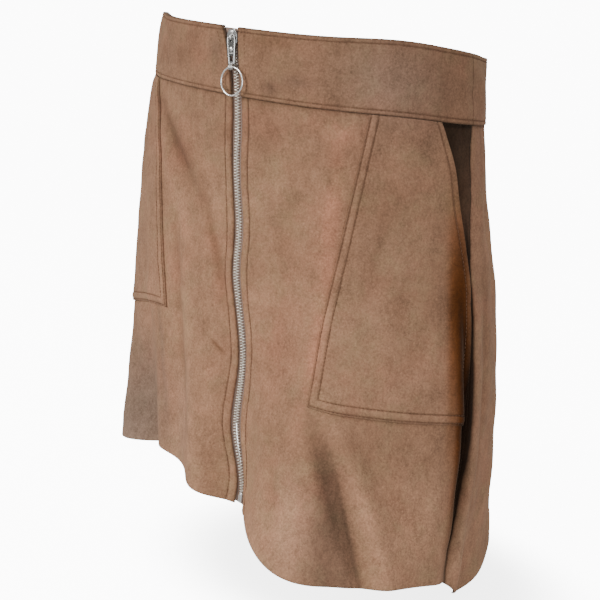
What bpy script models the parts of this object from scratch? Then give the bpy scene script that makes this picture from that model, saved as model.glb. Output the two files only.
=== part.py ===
"""Suede mini skirt with a full-length front zip, as it is worn: a hollow form, open at waist and hem.

Metres, +Z up. +X is the wearer's left and -Y the front. The origin is the middle of the waist's top edge.
A place on the cloth has an angle round the body in degrees, 0 at the front and growing towards the
wearer's left, and a drop, the distance down from the top edge.
"""

import math
from collections import namedtuple

import bmesh
import bpy
import numpy as np
from mathutils import Matrix, Vector

MM = 0.001

# Driving sizes of the garment.
LENGTH = 398 * MM  # top edge to hem
BAND_HEIGHT = 55 * MM
POCKET_BOTTOM_LEFT = 280 * MM  # drop of the bottom edge, wearer's left
POCKET_BOTTOM_RIGHT = 256 * MM
POCKET_SLANT_LEFT = 0.0  # how much lower the outer end of the bottom edge is
POCKET_SLANT_RIGHT = 24 * MM
FOLD_START = 140 * MM  # the hem's large folds begin at this drop
RIM_FADE = 110 * MM  # the top edge's rise has faded out at this drop

# Cloth and clearances.
SUEDE = 1.5 * MM
BAND_SUEDE = 2.8 * MM  # two layers
BAND_PROUD = 1.4 * MM  # the band stands this far out over the panels
POCKET_SUEDE = 1.4 * MM
POCKET_CLEARANCE = 0.9 * MM
POCKET_GAPE = 5.5 * MM  # most that a pocket's side opening stands off
POCKET_GAPE_END = 190 * MM  # drop where the side opening ends
SEAM_GAP = 0.5 * MM
FOLD_SHARPNESS = 1.8  # power of the growth of a fold from its start to the hem

# Zip.
CHAIN_HALF = 2.3 * MM
CHAIN_THICK = 2.4 * MM
CHAIN_SINK = 0.3 * MM  # the chain's face lies this far under the cloth's face
TAPE_INNER = 2.8 * MM
TAPE_OUTER = 14.0 * MM
TAPE_THICK = 0.7 * MM
TAPE_SINK = 1.95 * MM
TAPE_COLUMNS = (TAPE_INNER, 5.0 * MM, 9.5 * MM, TAPE_OUTER)
CHAIN_TOP = 9.0 * MM
CHAIN_BOTTOM = 384.5 * MM
TAPE_TOP = 1.5 * MM
TAPE_BOTTOM = 396.0 * MM

# Slider: its lengths run down the zip and its seat is the middle of the front plate's rear face.
SLIDER_DROP = 8.5 * MM
SLIDER_WIDTH = 9.8 * MM
SLIDER_LENGTH = 11.6 * MM
SLIDER_PLATE = 1.2 * MM
SLIDER_MOUTH = 3.0 * MM  # between the two plates
SLIDER_ROUNDING = 2.2 * MM  # corners of the plates
POST_WIDTH = 2.6 * MM
POST_LENGTH = 3.4 * MM
POST_INSET = 0.5 * MM  # from the plates' top edge
POST_ROUNDING = 0.6 * MM
BRIDGE_RADIUS = 1.5 * MM
BRIDGE_TUBE = 0.6 * MM

# Pull tab, hanging from its cross bar in the bridge. Heights are measured from the bar.
PULL_PIN = 0.6 * MM  # half thickness of the cross bar
PIVOT_OUT = SLIDER_PLATE + 0.3 * MM + PULL_PIN
TAB_LENGTH = 21.4 * MM
TAB_THICK = 1.2 * MM
TAB_TOP_HALF = 3.9 * MM
TAB_SHOULDER_HALF = 4.5 * MM
TAB_BOTTOM_HALF = 3.1 * MM
TAB_SLOT_HALF = 1.3 * MM
TAB_SLOT_DEPTH = 3.2 * MM
TAB_SLOT_ROUNDING = 0.3 * MM
TAB_ROUNDING = 0.5 * MM
TAB_EDGE = 0.15 * MM
BOSS_RADIUS = 2.3 * MM
BOSS_HEIGHT = 1.0 * MM
BOSS_BURIED = 0.4 * MM
BOSS_DOWN = 9.4 * MM
WINDOW_HALF = 1.6 * MM
WINDOW_TOP = 14.4 * MM
WINDOW_BOTTOM = 18.9 * MM
WINDOW_ROUNDING = 0.4 * MM
EYE_RADIUS = 2.5 * MM
EYE_HOLE = 1.3 * MM
EYE_WIDTH = 4.2 * MM
EYE_LAP = 0.5 * MM  # how far the eye's barrel runs into the tab

RING_RADIUS = 11.2 * MM  # to the middle of its wire
RING_TUBE = 0.85 * MM

# Bottom stop.
STOP_WIDTH = 4.6 * MM
STOP_LENGTH = 9.0 * MM
STOP_DEPTH = 3.0 * MM
STOP_DROP = 390.0 * MM
STOP_ROUNDING = 0.8 * MM

# Steps used to find the cloth's normals.
TURN_STEP = 0.1  # degrees
DROP_STEP = 0.5 * MM
SHARP_ANGLE = math.radians(40)

# Grid sizes.
PANEL_ROWS = 19
PANEL_COLUMNS = 18  # from the tape's outer edge to the side seam; two more lie nearer the zip
BACK_COLUMNS = 29
BAND_ROWS = 4
BAND_BACK_COLUMNS = 31
BAND_FRONT_COLUMNS = 16
POCKET_ROWS = 14
POCKET_COLUMNS = 11
ZIP_ROWS = 27

Section = namedtuple("Section", "drop half_width half_depth shift_left shift_back")
SECTIONS = (
    Section(0.000, 0.148, 0.107, 0.000, 0.000),
    Section(0.055, 0.156, 0.103, 0.000, 0.000),
    Section(0.125, 0.166, 0.103, 0.002, 0.003),
    Section(0.200, 0.175, 0.108, 0.0105, 0.001),
    Section(0.300, 0.181, 0.117, 0.0235, -0.008),
    Section(0.398, 0.180, 0.126, 0.034, -0.024),
)

# Slope of the level round the body: rise for each metre to the left, and for each metre to the back.
Lean = namedtuple("Lean", "drop to_left to_back")
LEANS = (Lean(0.0, -0.03, 0.02), Lean(0.398, -0.11, -0.04))

# A fold's place at the hem, how far it has wandered there from its start, its depth at the hem (outward
# is positive), its half width in degrees and the drop where it starts.
Fold = namedtuple("Fold", "angle wander depth spread start")
FOLDS = (
    Fold(-47, 0, -0.037, 10, FOLD_START),
    Fold(-25, 0, -0.030, 12, FOLD_START),
    Fold(1, 0, -0.034, 9, FOLD_START),
    Fold(25, -6, 0.035, 12, 0.070),
    Fold(48, 0, 0.013, 18, FOLD_START),
    Fold(77, 0, -0.010, 6, 0.200),
    Fold(97, 0, -0.021, 14, FOLD_START),
    Fold(132, -6, 0.014, 13, 0.150),
    Fold(160, 0, -0.012, 12, 0.190),
    Fold(188, 8, 0.013, 13, 0.160),
    Fold(216, 0, -0.015, 12, 0.200),
    Fold(243, -5, 0.012, 12, 0.150),
    Fold(272, 0, -0.008, 10, 0.210),
)

# Where the hem hangs higher or lower than its level.
Rise = namedtuple("Rise", "angle rise spread")
HEM_RISES = (Rise(-90, -0.010, 22), Rise(-35, 0.016, 18), Rise(-10, 0.007, 16), Rise(40, -0.009, 20),
             Rise(100, -0.033, 22))
RIM_RISES = (Rise(52, 0.004, 22), Rise(115, -0.005, 25), Rise(180, -0.009, 50), Rise(-118, -0.0095, 36),
             Rise(-58, 0.003, 14))

# Lines that run down the garment: the angle, or half width, at each drop.
Line = namedtuple("Line", "drop angle")
ZIP_LINE = (Line(0.000, -5.3), Line(0.055, -2.6), Line(0.115, -1.9), Line(0.165, -0.6), Line(0.203, -1.1),
            Line(0.264, 1.2), Line(0.330, -0.7), Line(0.381, 1.7), Line(0.398, 1.0))
SEAM_LEFT = (Line(0.000, 87.0), Line(0.055, 86.0), Line(0.112, 83.0), Line(0.174, 79.5), Line(0.398, 77.0))
SEAM_RIGHT = (Line(0.000, -93.0), Line(0.055, -92.0), Line(0.174, -88.0), Line(0.398, -86.0))
POCKET_LEFT_INNER = (Line(0.055, 41.2), Line(0.139, 32.9), Line(0.214, 27.0), Line(0.280, 24.5))
POCKET_LEFT_OUTER = (Line(0.055, 68.5), Line(0.096, 72.0), Line(0.130, 73.0), Line(0.175, 76.5),
                     Line(0.280, 76.0))
POCKET_RIGHT_INNER = (Line(0.055, -45.8), Line(0.112, -38.8), Line(0.205, -32.5), Line(0.262, -29.5))
POCKET_RIGHT_OUTER = (Line(0.055, -72.5), Line(0.096, -77.0), Line(0.130, -80.0), Line(0.175, -85.0),
                      Line(0.262, -85.5))
Opening = namedtuple("Opening", "drop right_half left_half")
ZIP_OPENING = (Opening(0.000, 0.0100, 0.0062), Opening(0.012, 0.0066, 0.0056),
               Opening(0.026, 0.0050, 0.0051), Opening(0.050, 0.0049, 0.0049),
               Opening(0.200, 0.0046, 0.0046), Opening(0.320, 0.0045, 0.0046),
               Opening(0.398, 0.0050, 0.0066))

Finish = namedtuple("Finish", "colour roughness metallic")
SUEDE_TAN = Finish((0.36, 0.21, 0.13), 0.95, 0.0)
SUEDE_DEEP = Finish((0.30, 0.17, 0.105), 0.95, 0.0)
TAPE_TAUPE = Finish((0.33, 0.23, 0.17), 0.85, 0.0)
TEETH_METAL = Finish((0.80, 0.76, 0.68), 0.32, 1.0)
POLISHED = Finish((0.86, 0.85, 0.83), 0.16, 1.0)


def smooth(rows, column, drop):
    """The value of one column at a drop: a cubic between rows, with slopes from the neighbouring rows."""
    table = np.array(rows)
    knots = table[:, 0]
    values = table[:, column]
    slopes = np.gradient(values, knots)
    drop = np.asarray(drop, float)
    lower = np.clip(np.searchsorted(knots, drop, side="right") - 1, 0, len(knots) - 2)
    span = knots[lower + 1] - knots[lower]
    share = np.clip((drop - knots[lower]) / span, 0, 1)
    rest = 1 - share
    ends = values[lower] * (1 + 2 * share) * rest**2 + values[lower + 1] * (1 + 2 * rest) * share**2
    return ends + span * (slopes[lower] * share * rest**2 - slopes[lower + 1] * rest * share**2)


def bell(angle, middle, spread):
    """A soft ridge of height 1 round the body."""
    away = (angle - middle + 180) % 360 - 180
    return np.exp(-((away / spread) ** 2))


def grown(drop, start):
    """How far a fold has grown at a drop: 0 at its start, 1 at the hem."""
    return np.clip((drop - start) / (LENGTH - start), 0, 1)


def base_surface(angle, drop):
    """The cloth's outer face: ellipses from the sections, moved in and out by the folds."""
    angle, drop = np.broadcast_arrays(np.asarray(angle, float), np.asarray(drop, float))
    turn = np.radians(angle)
    half_width = smooth(SECTIONS, 1, drop)
    half_depth = smooth(SECTIONS, 2, drop)
    normal_x = np.sin(turn) * half_depth
    normal_y = -np.cos(turn) * half_width
    size = np.hypot(normal_x, normal_y)
    depth = np.zeros_like(turn)
    for fold in FOLDS:
        growth = grown(drop, fold.start)
        middle = fold.angle - fold.wander * (1 - growth)
        depth += fold.depth * growth**FOLD_SHARPNESS * bell(angle, middle, fold.spread)
    rise = np.zeros_like(turn)
    for hem in HEM_RISES:
        rise += hem.rise * grown(drop, FOLD_START) ** FOLD_SHARPNESS * bell(angle, hem.angle, hem.spread)
    for rim in RIM_RISES:
        rise += rim.rise * np.clip(1 - drop / RIM_FADE, 0, 1) * bell(angle, rim.angle, rim.spread)
    across = half_width * np.sin(turn)
    along = -half_depth * np.cos(turn)
    level = smooth(LEANS, 1, drop) * across + smooth(LEANS, 2, drop) * along
    return np.stack(
        [
            smooth(SECTIONS, 3, drop) + across + depth * normal_x / size,
            smooth(SECTIONS, 4, drop) + along + depth * normal_y / size,
            level + rise - drop,
        ],
        axis=-1,
    )


def normals(angle, drop):
    """Unit normals of the outer face, from small steps round and down."""
    around = base_surface(angle + TURN_STEP, drop) - base_surface(angle - TURN_STEP, drop)
    down = base_surface(angle, drop + DROP_STEP) - base_surface(angle, drop - DROP_STEP)
    outward = np.cross(down, around)
    return outward / np.linalg.norm(outward, axis=-1, keepdims=True)


def cloth(angle, drop, out=0.0):
    """Points at a distance out from the cloth's outer face."""
    angle, drop, out = np.broadcast_arrays(np.asarray(angle, float), np.asarray(drop, float), out)
    return base_surface(angle, drop) + out[..., None] * normals(angle, drop)


def degrees_for(distance, angle, drop):
    """The turn that covers a distance round the body, at a place."""
    turn = np.radians(angle)
    width_part = smooth(SECTIONS, 1, drop) * np.cos(turn)
    depth_part = smooth(SECTIONS, 2, drop) * np.sin(turn)
    return np.degrees(distance / np.hypot(width_part, depth_part))


def clear_scene():
    """Removes every object of the open scene."""
    for old in list(bpy.data.objects):
        bpy.data.objects.remove(old)


def new_collection(name, hidden=False):
    """A collection in the scene. A hidden one holds cutters."""
    collection = bpy.data.collections.new(name)
    bpy.context.scene.collection.children.link(collection)
    collection.hide_render = hidden
    return collection


def new_material(name, finish):
    """A Principled material with one finish."""
    material = bpy.data.materials.new(name)
    material.use_nodes = True
    shader = material.node_tree.nodes["Principled BSDF"]
    shader.inputs["Base Color"].default_value = (*finish.colour, 1.0)
    shader.inputs["Roughness"].default_value = finish.roughness
    shader.inputs["Metallic"].default_value = finish.metallic
    material.diffuse_color = (*finish.colour, 1.0)
    return material


def add_object(name, data, collection, material=None):
    """An object with its data, in a collection, shaded smooth over soft edges."""
    made = bpy.data.objects.new(name, data)
    collection.objects.link(made)
    if material is not None:
        data.materials.append(material)
    if isinstance(data, bpy.types.Mesh):
        data.shade_smooth()
        data.set_sharp_from_angle(angle=SHARP_ANGLE)
    return made


def add_wall(name, points, thickness, outward, collection, finish):
    """A cloth wall: an open loft through a grid of points, row below row, given its thickness by Solidify."""
    rows, columns = points.shape[:2]
    corner = np.arange(rows * columns).reshape(rows, columns)
    quads = np.stack([corner[:-1, :-1], corner[1:, :-1], corner[1:, 1:], corner[:-1, 1:]], axis=-1)
    mesh = bpy.data.meshes.new(name)
    mesh.from_pydata(points.reshape(-1, 3).tolist(), [], quads.reshape(-1, 4).tolist())
    made = add_object(name, mesh, collection, new_material(name, finish))
    solidify = made.modifiers.new("cloth", "SOLIDIFY")
    solidify.thickness = thickness
    solidify.offset = 1.0 if outward else -1.0
    return made


def zip_edge(side, drop):
    """The angle of a front's edge beside the zip. side is 1 on the wearer's left and -1 on the right."""
    middle = smooth(ZIP_LINE, 1, drop)
    half = smooth(ZIP_OPENING, 2 if side > 0 else 1, drop)
    return middle + side * degrees_for(half, middle, drop), half


def front_angles(side, drops, columns):
    """The angles of a front's columns: two near the zip, in step with the tape, then even ones."""
    middle = smooth(ZIP_LINE, 1, drops)
    edge, half = zip_edge(side, drops)
    seam = smooth(SEAM_LEFT if side > 0 else SEAM_RIGHT, 1, drops)
    seam = seam - side * degrees_for(SEAM_GAP / 2, seam, drops)
    second = middle + side * degrees_for(np.maximum(TAPE_COLUMNS[2], half + MM), middle, drops)
    third = middle + side * degrees_for(TAPE_OUTER, middle, drops)
    even = np.linspace(third, seam, columns, axis=1)
    angles = np.concatenate([edge[:, None], second[:, None], even], axis=1)
    return angles if side > 0 else angles[:, ::-1]


def back_angles(drops, columns):
    """The angles of the back's columns, from the left side seam round to the right one."""
    start = smooth(SEAM_LEFT, 1, drops)
    start = start + degrees_for(SEAM_GAP / 2, start, drops)
    end = smooth(SEAM_RIGHT, 1, drops) + 360
    end = end - degrees_for(SEAM_GAP / 2, end, drops)
    return np.linspace(start, end, columns, axis=1)


def add_band(collection):
    """The waistband: two fronts and a back."""
    drops = np.linspace(0, BAND_HEIGHT - SEAM_GAP / 2, BAND_ROWS)
    names = {"waistband_front_right": -1, "waistband_front_left": 1}
    for name, side in names.items():
        angles = front_angles(side, drops, BAND_FRONT_COLUMNS)
        points = cloth(angles, drops[:, None], BAND_PROUD)
        add_wall(name, points, BAND_SUEDE, False, collection, SUEDE_TAN)
    angles = back_angles(drops, BAND_BACK_COLUMNS)
    points = cloth(angles, drops[:, None], BAND_PROUD)
    add_wall("waistband_back", points, BAND_SUEDE, False, collection, SUEDE_TAN)


def add_panels(collection):
    """The two fronts and the back, from the band's seam to the hem."""
    drops = np.linspace(BAND_HEIGHT + SEAM_GAP / 2, LENGTH, PANEL_ROWS)
    for name, side in {"front_right_panel": -1, "front_left_panel": 1}.items():
        angles = front_angles(side, drops, PANEL_COLUMNS)
        add_wall(name, cloth(angles, drops[:, None]), SUEDE, False, collection, SUEDE_TAN)
    angles = back_angles(drops, BACK_COLUMNS)
    add_wall("back_panel", cloth(angles, drops[:, None]), SUEDE, False, collection, SUEDE_TAN)


def add_pocket(name, inner, outer, bottom, slant, collection):
    """A patch pocket on a front: slanted inner edge, straight bottom, side opening that stands off."""
    top = BAND_HEIGHT + SEAM_GAP / 2
    drops = np.linspace(top, bottom, POCKET_ROWS)
    edges = (smooth(inner, 1, drops), smooth(outer, 1, drops))
    share = np.linspace(0, 1, POCKET_COLUMNS)
    angles = edges[0][:, None] * (1 - share) + edges[1][:, None] * share
    opening = np.clip((drops - BAND_HEIGHT) / (POCKET_GAPE_END - BAND_HEIGHT), 0, 1)
    gape = POCKET_GAPE * np.sin(math.pi * opening)[:, None] * share**3
    lowered = drops[:, None] + slant * share * ((drops - top) / (bottom - top))[:, None]
    if edges[1][0] < edges[0][0]:
        angles = angles[:, ::-1]
        gape = gape[:, ::-1]
        lowered = lowered[:, ::-1]
    points = cloth(angles, lowered, POCKET_CLEARANCE + gape)
    add_wall(name, points, POCKET_SUEDE, True, collection, SUEDE_DEEP)


def add_zip_strips(collection):
    """The tapes behind the fronts' edges, and each row of teeth as one plain strip."""
    for word, side in {"right": -1, "left": 1}.items():
        drops = np.linspace(TAPE_TOP, TAPE_BOTTOM, ZIP_ROWS)
        middle = smooth(ZIP_LINE, 1, drops)
        reach = np.array(TAPE_COLUMNS)[::side]
        angles = middle[:, None] + side * degrees_for(reach, middle[:, None], drops[:, None])
        points = cloth(angles, drops[:, None], -TAPE_SINK)
        add_wall(f"zip_tape_{word}", points, TAPE_THICK, False, collection, TAPE_TAUPE)
        drops = np.linspace(CHAIN_TOP, CHAIN_BOTTOM, ZIP_ROWS)
        middle = smooth(ZIP_LINE, 1, drops)
        reach = np.array((SEAM_GAP / 2, CHAIN_HALF))[::side]
        angles = middle[:, None] + side * degrees_for(reach, middle[:, None], drops[:, None])
        points = cloth(angles, drops[:, None], -CHAIN_SINK)
        add_wall(f"zip_teeth_{word}", points, CHAIN_THICK, False, collection, TEETH_METAL)


def zip_frame(drop):
    """The place on the zip at a drop, and its directions: across to the left, inward and up the zip."""
    step = MM
    ends = [Vector(cloth(smooth(ZIP_LINE, 1, d), d)) for d in (drop - step, drop, drop + step)]
    inward = -Vector(normals(smooth(ZIP_LINE, 1, drop), drop))
    up = (ends[0] - ends[2]).normalized()
    across = inward.cross(up).normalized()
    up = across.cross(inward).normalized()
    return ends[1], across, inward, up


def frame_matrix(place, across, inward, up):
    """A placing matrix: x across, y inward and z up."""
    matrix = Matrix((across, inward, up)).transposed().to_4x4()
    matrix.translation = place
    return matrix


def add_empty(name, matrix, collection, parent=None):
    """An empty at a world placing."""
    made = bpy.data.objects.new(name, None)
    collection.objects.link(made)
    made.empty_display_size = 5 * MM
    made.parent = parent
    made.matrix_world = matrix
    if parent is not None:
        made.matrix_parent_inverse = parent.matrix_world.inverted()
        made.matrix_basis = matrix
    return made


def block(size, centre, rounding, collection, name="cutter"):
    """A box whose four edges along y are rounded."""
    mesh = bpy.data.meshes.new(name)
    shape = bmesh.new()
    bmesh.ops.create_cube(shape, size=1.0, matrix=Matrix.Diagonal((*size, 1.0)))
    if rounding > 0:
        edges = [e for e in shape.edges if abs(e.verts[0].co.y - e.verts[1].co.y) > size[1] / 2]
        bmesh.ops.bevel(shape, geom=edges, offset=rounding, segments=3, affect="EDGES", profile=0.5)
    bmesh.ops.translate(shape, verts=shape.verts, vec=centre)
    shape.to_mesh(mesh)
    shape.free()
    return add_object(name, mesh, collection)


def barrel(radius, width, centre, collection, segments=20):
    """A round bar with its axis along x."""
    mesh = bpy.data.meshes.new("cutter")
    shape = bmesh.new()
    turn = Matrix.Rotation(math.pi / 2, 4, "Y")
    bmesh.ops.create_cone(shape, cap_ends=True, segments=segments, radius1=radius, radius2=radius,
                          depth=width, matrix=turn)
    bmesh.ops.translate(shape, verts=shape.verts, vec=centre)
    shape.to_mesh(mesh)
    shape.free()
    return add_object("cutter", mesh, collection)


def ring_object(name, radius, tube, sides, steps, collection):
    """A torus with its axis along z, for its caller to turn."""
    bpy.ops.mesh.primitive_torus_add(major_radius=radius, minor_radius=tube, major_segments=steps,
                                     minor_segments=sides)
    made = bpy.context.object
    made.name = name
    for home in list(made.users_collection):
        home.objects.unlink(made)
    collection.objects.link(made)
    made.data.shade_smooth()
    return made


def combine(target, tool, operation):
    """A Boolean of one object on another. The tool stays as a hidden guide."""
    tool.hide_render = True
    tool.display_type = "WIRE"
    change = target.modifiers.new(operation.lower(), "BOOLEAN")
    change.operation = operation
    change.object = tool


def add_slider(seat, collection, cutters):
    """The zip's slider: two plates, the post between them and the bridge in front."""
    plate = (SLIDER_WIDTH, SLIDER_PLATE, SLIDER_LENGTH)
    front_place = (0, -SLIDER_PLATE / 2, 0)
    rear_place = (0, SLIDER_MOUTH + SLIDER_PLATE / 2, 0)
    body = block(plate, front_place, SLIDER_ROUNDING, collection, "zip_slider")
    body.data.materials.append(new_material("zip_slider", POLISHED))
    rear = block(plate, rear_place, SLIDER_ROUNDING, cutters)
    post_size = (POST_WIDTH, SLIDER_MOUTH + SLIDER_PLATE, POST_LENGTH)
    post_place = (0, SLIDER_MOUTH / 2, SLIDER_LENGTH / 2 - POST_LENGTH / 2 - POST_INSET)
    post = block(post_size, post_place, POST_ROUNDING, cutters)
    bridge = ring_object("bridge", BRIDGE_RADIUS, BRIDGE_TUBE, 10, 20, cutters)
    bridge.data.transform(Matrix.Rotation(math.pi / 2, 4, "Y"))
    bridge.data.transform(Matrix.Translation((0, -PIVOT_OUT, 0)))
    for tool in (rear, post, bridge):
        tool.parent = seat
        combine(body, tool, "UNION")
    body.parent = seat
    return body


def tab_outline(points, name, thickness, collection):
    """A flat plate from closed outlines in the x-z plane; an outline inside another is a hole."""
    curve = bpy.data.curves.new(name, "CURVE")
    curve.dimensions = "2D"
    curve.fill_mode = "BOTH"
    curve.extrude = thickness / 2 - TAB_EDGE
    curve.bevel_depth = TAB_EDGE
    curve.bevel_resolution = 0
    for outline in points:
        spline = curve.splines.new("POLY")
        spline.points.add(len(outline) - 1)
        for point, (x, z) in zip(spline.points, outline):
            point.co = (x, z, 0, 1)
        spline.use_cyclic_u = True
    made = bpy.data.objects.new(name, curve)
    collection.objects.link(made)
    bpy.context.view_layer.update()
    mesh = bpy.data.meshes.new_from_object(made.evaluated_get(bpy.context.evaluated_depsgraph_get()))
    bpy.data.objects.remove(made)
    shape = bmesh.new()
    shape.from_mesh(mesh)
    bmesh.ops.remove_doubles(shape, verts=shape.verts, dist=0.01 * MM)
    bmesh.ops.recalc_face_normals(shape, faces=shape.faces)
    shape.to_mesh(mesh)
    shape.free()
    mesh.transform(Matrix.Rotation(math.pi / 2, 4, "X"))
    return add_object(name, mesh, collection)


def rounded_corners(corners, radius, steps=3):
    """A closed outline with each corner cut by a small arc."""
    made = []
    for index, corner in enumerate(corners):
        here = Vector(corner)
        before = (Vector(corners[index - 1]) - here).normalized()
        after = (Vector(corners[(index + 1) % len(corners)]) - here).normalized()
        half_turn = before.angle(after) / 2
        reach = radius / math.tan(half_turn)
        centre = here + (before + after).normalized() * radius / math.sin(half_turn)
        start = here + before * reach - centre
        sweep = start.angle_signed(here + after * reach - centre)
        for step in range(steps + 1):
            turned = start.copy()
            turned.rotate(Matrix.Rotation(-sweep * step / steps, 2))
            made.append(tuple(centre + turned))
    return made


def add_pull_tab(pivot, collection, cutters):
    """The tab: a tapered plate with a slot round the bridge, a boss, a window and the ring's eye.

    Returns the height of the eye's middle, from the pivot.
    """
    shoulder = -TAB_SLOT_DEPTH
    outer = rounded_corners(
        [
            (-TAB_TOP_HALF, PULL_PIN),
            (TAB_TOP_HALF, PULL_PIN),
            (TAB_SHOULDER_HALF, shoulder),
            (TAB_BOTTOM_HALF, -TAB_LENGTH),
            (-TAB_BOTTOM_HALF, -TAB_LENGTH),
            (-TAB_SHOULDER_HALF, shoulder),
        ],
        TAB_ROUNDING,
    )
    slot = rounded_corners(
        [
            (-TAB_SLOT_HALF, -PULL_PIN),
            (TAB_SLOT_HALF, -PULL_PIN),
            (TAB_SLOT_HALF, -TAB_SLOT_DEPTH),
            (-TAB_SLOT_HALF, -TAB_SLOT_DEPTH),
        ],
        TAB_SLOT_ROUNDING,
    )
    window = rounded_corners(
        [
            (-WINDOW_HALF, -WINDOW_TOP),
            (WINDOW_HALF, -WINDOW_TOP),
            (WINDOW_HALF, -WINDOW_BOTTOM),
            (-WINDOW_HALF, -WINDOW_BOTTOM),
        ],
        WINDOW_ROUNDING,
    )
    tab = tab_outline([outer, slot, window], "pull_tab", TAB_THICK, collection)
    tab.data.materials.append(new_material("pull_tab", POLISHED))
    boss_out = TAB_THICK / 2 + BOSS_HEIGHT / 2 - BOSS_BURIED
    boss = barrel(BOSS_RADIUS, BOSS_HEIGHT, (0, 0, 0), cutters)
    boss.data.transform(Matrix.Rotation(math.pi / 2, 4, "Z"))
    boss.data.transform(Matrix.Translation((0, -boss_out, -BOSS_DOWN)))
    eye_centre = (0, 0, -TAB_LENGTH - EYE_RADIUS + EYE_LAP)
    eye = barrel(EYE_RADIUS, EYE_WIDTH, eye_centre, cutters)
    hole = barrel(EYE_HOLE, 2 * EYE_WIDTH, eye_centre, cutters)
    for tool, operation in ((boss, "UNION"), (eye, "UNION"), (hole, "DIFFERENCE")):
        tool.parent = pivot
        combine(tab, tool, operation)
    tab.parent = pivot
    return eye_centre[2]


def add_pull_ring(pivot, collection):
    """The round ring that hangs in the tab's eye, its tube's top on the pivot."""
    ring = ring_object("pull_ring", RING_RADIUS, RING_TUBE, 8, 40, collection)
    ring.data.transform(Matrix.Rotation(math.pi / 2, 4, "X"))
    ring.data.transform(Matrix.Translation((0, 0, -RING_RADIUS)))
    ring.data.materials.append(new_material("pull_ring", POLISHED))
    ring.parent = pivot


def add_zip_metal(collection, cutters):
    """The slider at the top of the zip with its tab and ring, hanging plumb, and the stop at the bottom."""
    place, across, inward, up = zip_frame(SLIDER_DROP)
    seat = add_empty("slider_seat", frame_matrix(place, across, inward, up), collection)
    add_slider(seat, collection, cutters)
    pivot_place = place - inward * PIVOT_OUT
    plumb = Vector((0, 0, 1))
    plumb = (plumb - across * plumb.dot(across)).normalized()
    hanging = frame_matrix(pivot_place, across, plumb.cross(across), plumb)
    pull_pivot = add_empty("pull_pivot", hanging, collection)
    eye_height = add_pull_tab(pull_pivot, collection, cutters)
    ring_place = pivot_place + plumb * eye_height
    ring_matrix = frame_matrix(ring_place, across, plumb.cross(across), plumb)
    ring_pivot = add_empty("ring_pivot", ring_matrix, collection, pull_pivot)
    add_pull_ring(ring_pivot, collection)
    stop_seat = add_empty("stop_seat", frame_matrix(*zip_frame(STOP_DROP)), collection)
    stop_size = (STOP_WIDTH, STOP_DEPTH, STOP_LENGTH)
    stop = block(stop_size, (0, STOP_DEPTH / 2, 0), STOP_ROUNDING, collection, "zip_bottom_stop")
    stop.data.materials.append(new_material("zip_bottom_stop", POLISHED))
    stop.parent = stop_seat


def main():
    """Builds the skirt."""
    clear_scene()
    skirt = new_collection("suede_mini_skirt")
    cutters = new_collection("cutters", hidden=True)
    add_band(skirt)
    add_panels(skirt)
    pockets = (
        ("pocket_right", POCKET_RIGHT_INNER, POCKET_RIGHT_OUTER, POCKET_BOTTOM_RIGHT, POCKET_SLANT_RIGHT),
        ("pocket_left", POCKET_LEFT_INNER, POCKET_LEFT_OUTER, POCKET_BOTTOM_LEFT, POCKET_SLANT_LEFT),
    )
    for pocket in pockets:
        add_pocket(*pocket, skirt)
    add_zip_strips(skirt)
    add_zip_metal(skirt, cutters)
    bpy.context.view_layer.update()


main()
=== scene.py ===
"""Suede mini skirt with a full-length front zip: its detailed surfaces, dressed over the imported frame.

Metres, +Z up. +X is the wearer's left and -Y the front. The origin is the middle of the waist's top edge.
A place on the cloth has an angle round the body in degrees, 0 at the front and growing towards the wearer's
left, and a drop, the distance down from the top edge. Out is the distance off the cloth's outer face.
"""

import logging
import math
from collections import namedtuple
from dataclasses import dataclass
from enum import Enum
from functools import cache

import bpy
import numpy as np
from mathutils import Matrix, Vector


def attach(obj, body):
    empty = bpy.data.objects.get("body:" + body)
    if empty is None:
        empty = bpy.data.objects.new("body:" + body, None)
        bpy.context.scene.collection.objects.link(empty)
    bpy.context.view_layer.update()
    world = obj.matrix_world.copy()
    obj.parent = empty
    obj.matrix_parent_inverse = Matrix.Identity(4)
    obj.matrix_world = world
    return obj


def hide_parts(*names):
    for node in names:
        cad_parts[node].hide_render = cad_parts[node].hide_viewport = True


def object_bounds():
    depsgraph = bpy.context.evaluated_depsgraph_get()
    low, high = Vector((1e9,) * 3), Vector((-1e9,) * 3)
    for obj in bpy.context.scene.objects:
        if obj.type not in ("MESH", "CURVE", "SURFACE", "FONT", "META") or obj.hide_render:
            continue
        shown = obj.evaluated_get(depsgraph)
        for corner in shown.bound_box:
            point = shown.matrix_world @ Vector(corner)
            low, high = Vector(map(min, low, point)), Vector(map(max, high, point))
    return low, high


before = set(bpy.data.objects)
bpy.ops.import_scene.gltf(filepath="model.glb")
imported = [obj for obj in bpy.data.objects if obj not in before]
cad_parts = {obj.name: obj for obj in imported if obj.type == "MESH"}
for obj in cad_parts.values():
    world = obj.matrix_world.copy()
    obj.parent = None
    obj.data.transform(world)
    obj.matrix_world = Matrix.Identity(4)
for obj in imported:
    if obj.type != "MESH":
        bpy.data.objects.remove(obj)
CAD_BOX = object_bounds()

LOG = logging.getLogger("skirt")
MM = 0.001
FAR = 1.0  # stands for a distance from an edge that is too great to matter

# ---------------------------------------------------------------- the form, as the frame has it

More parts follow.
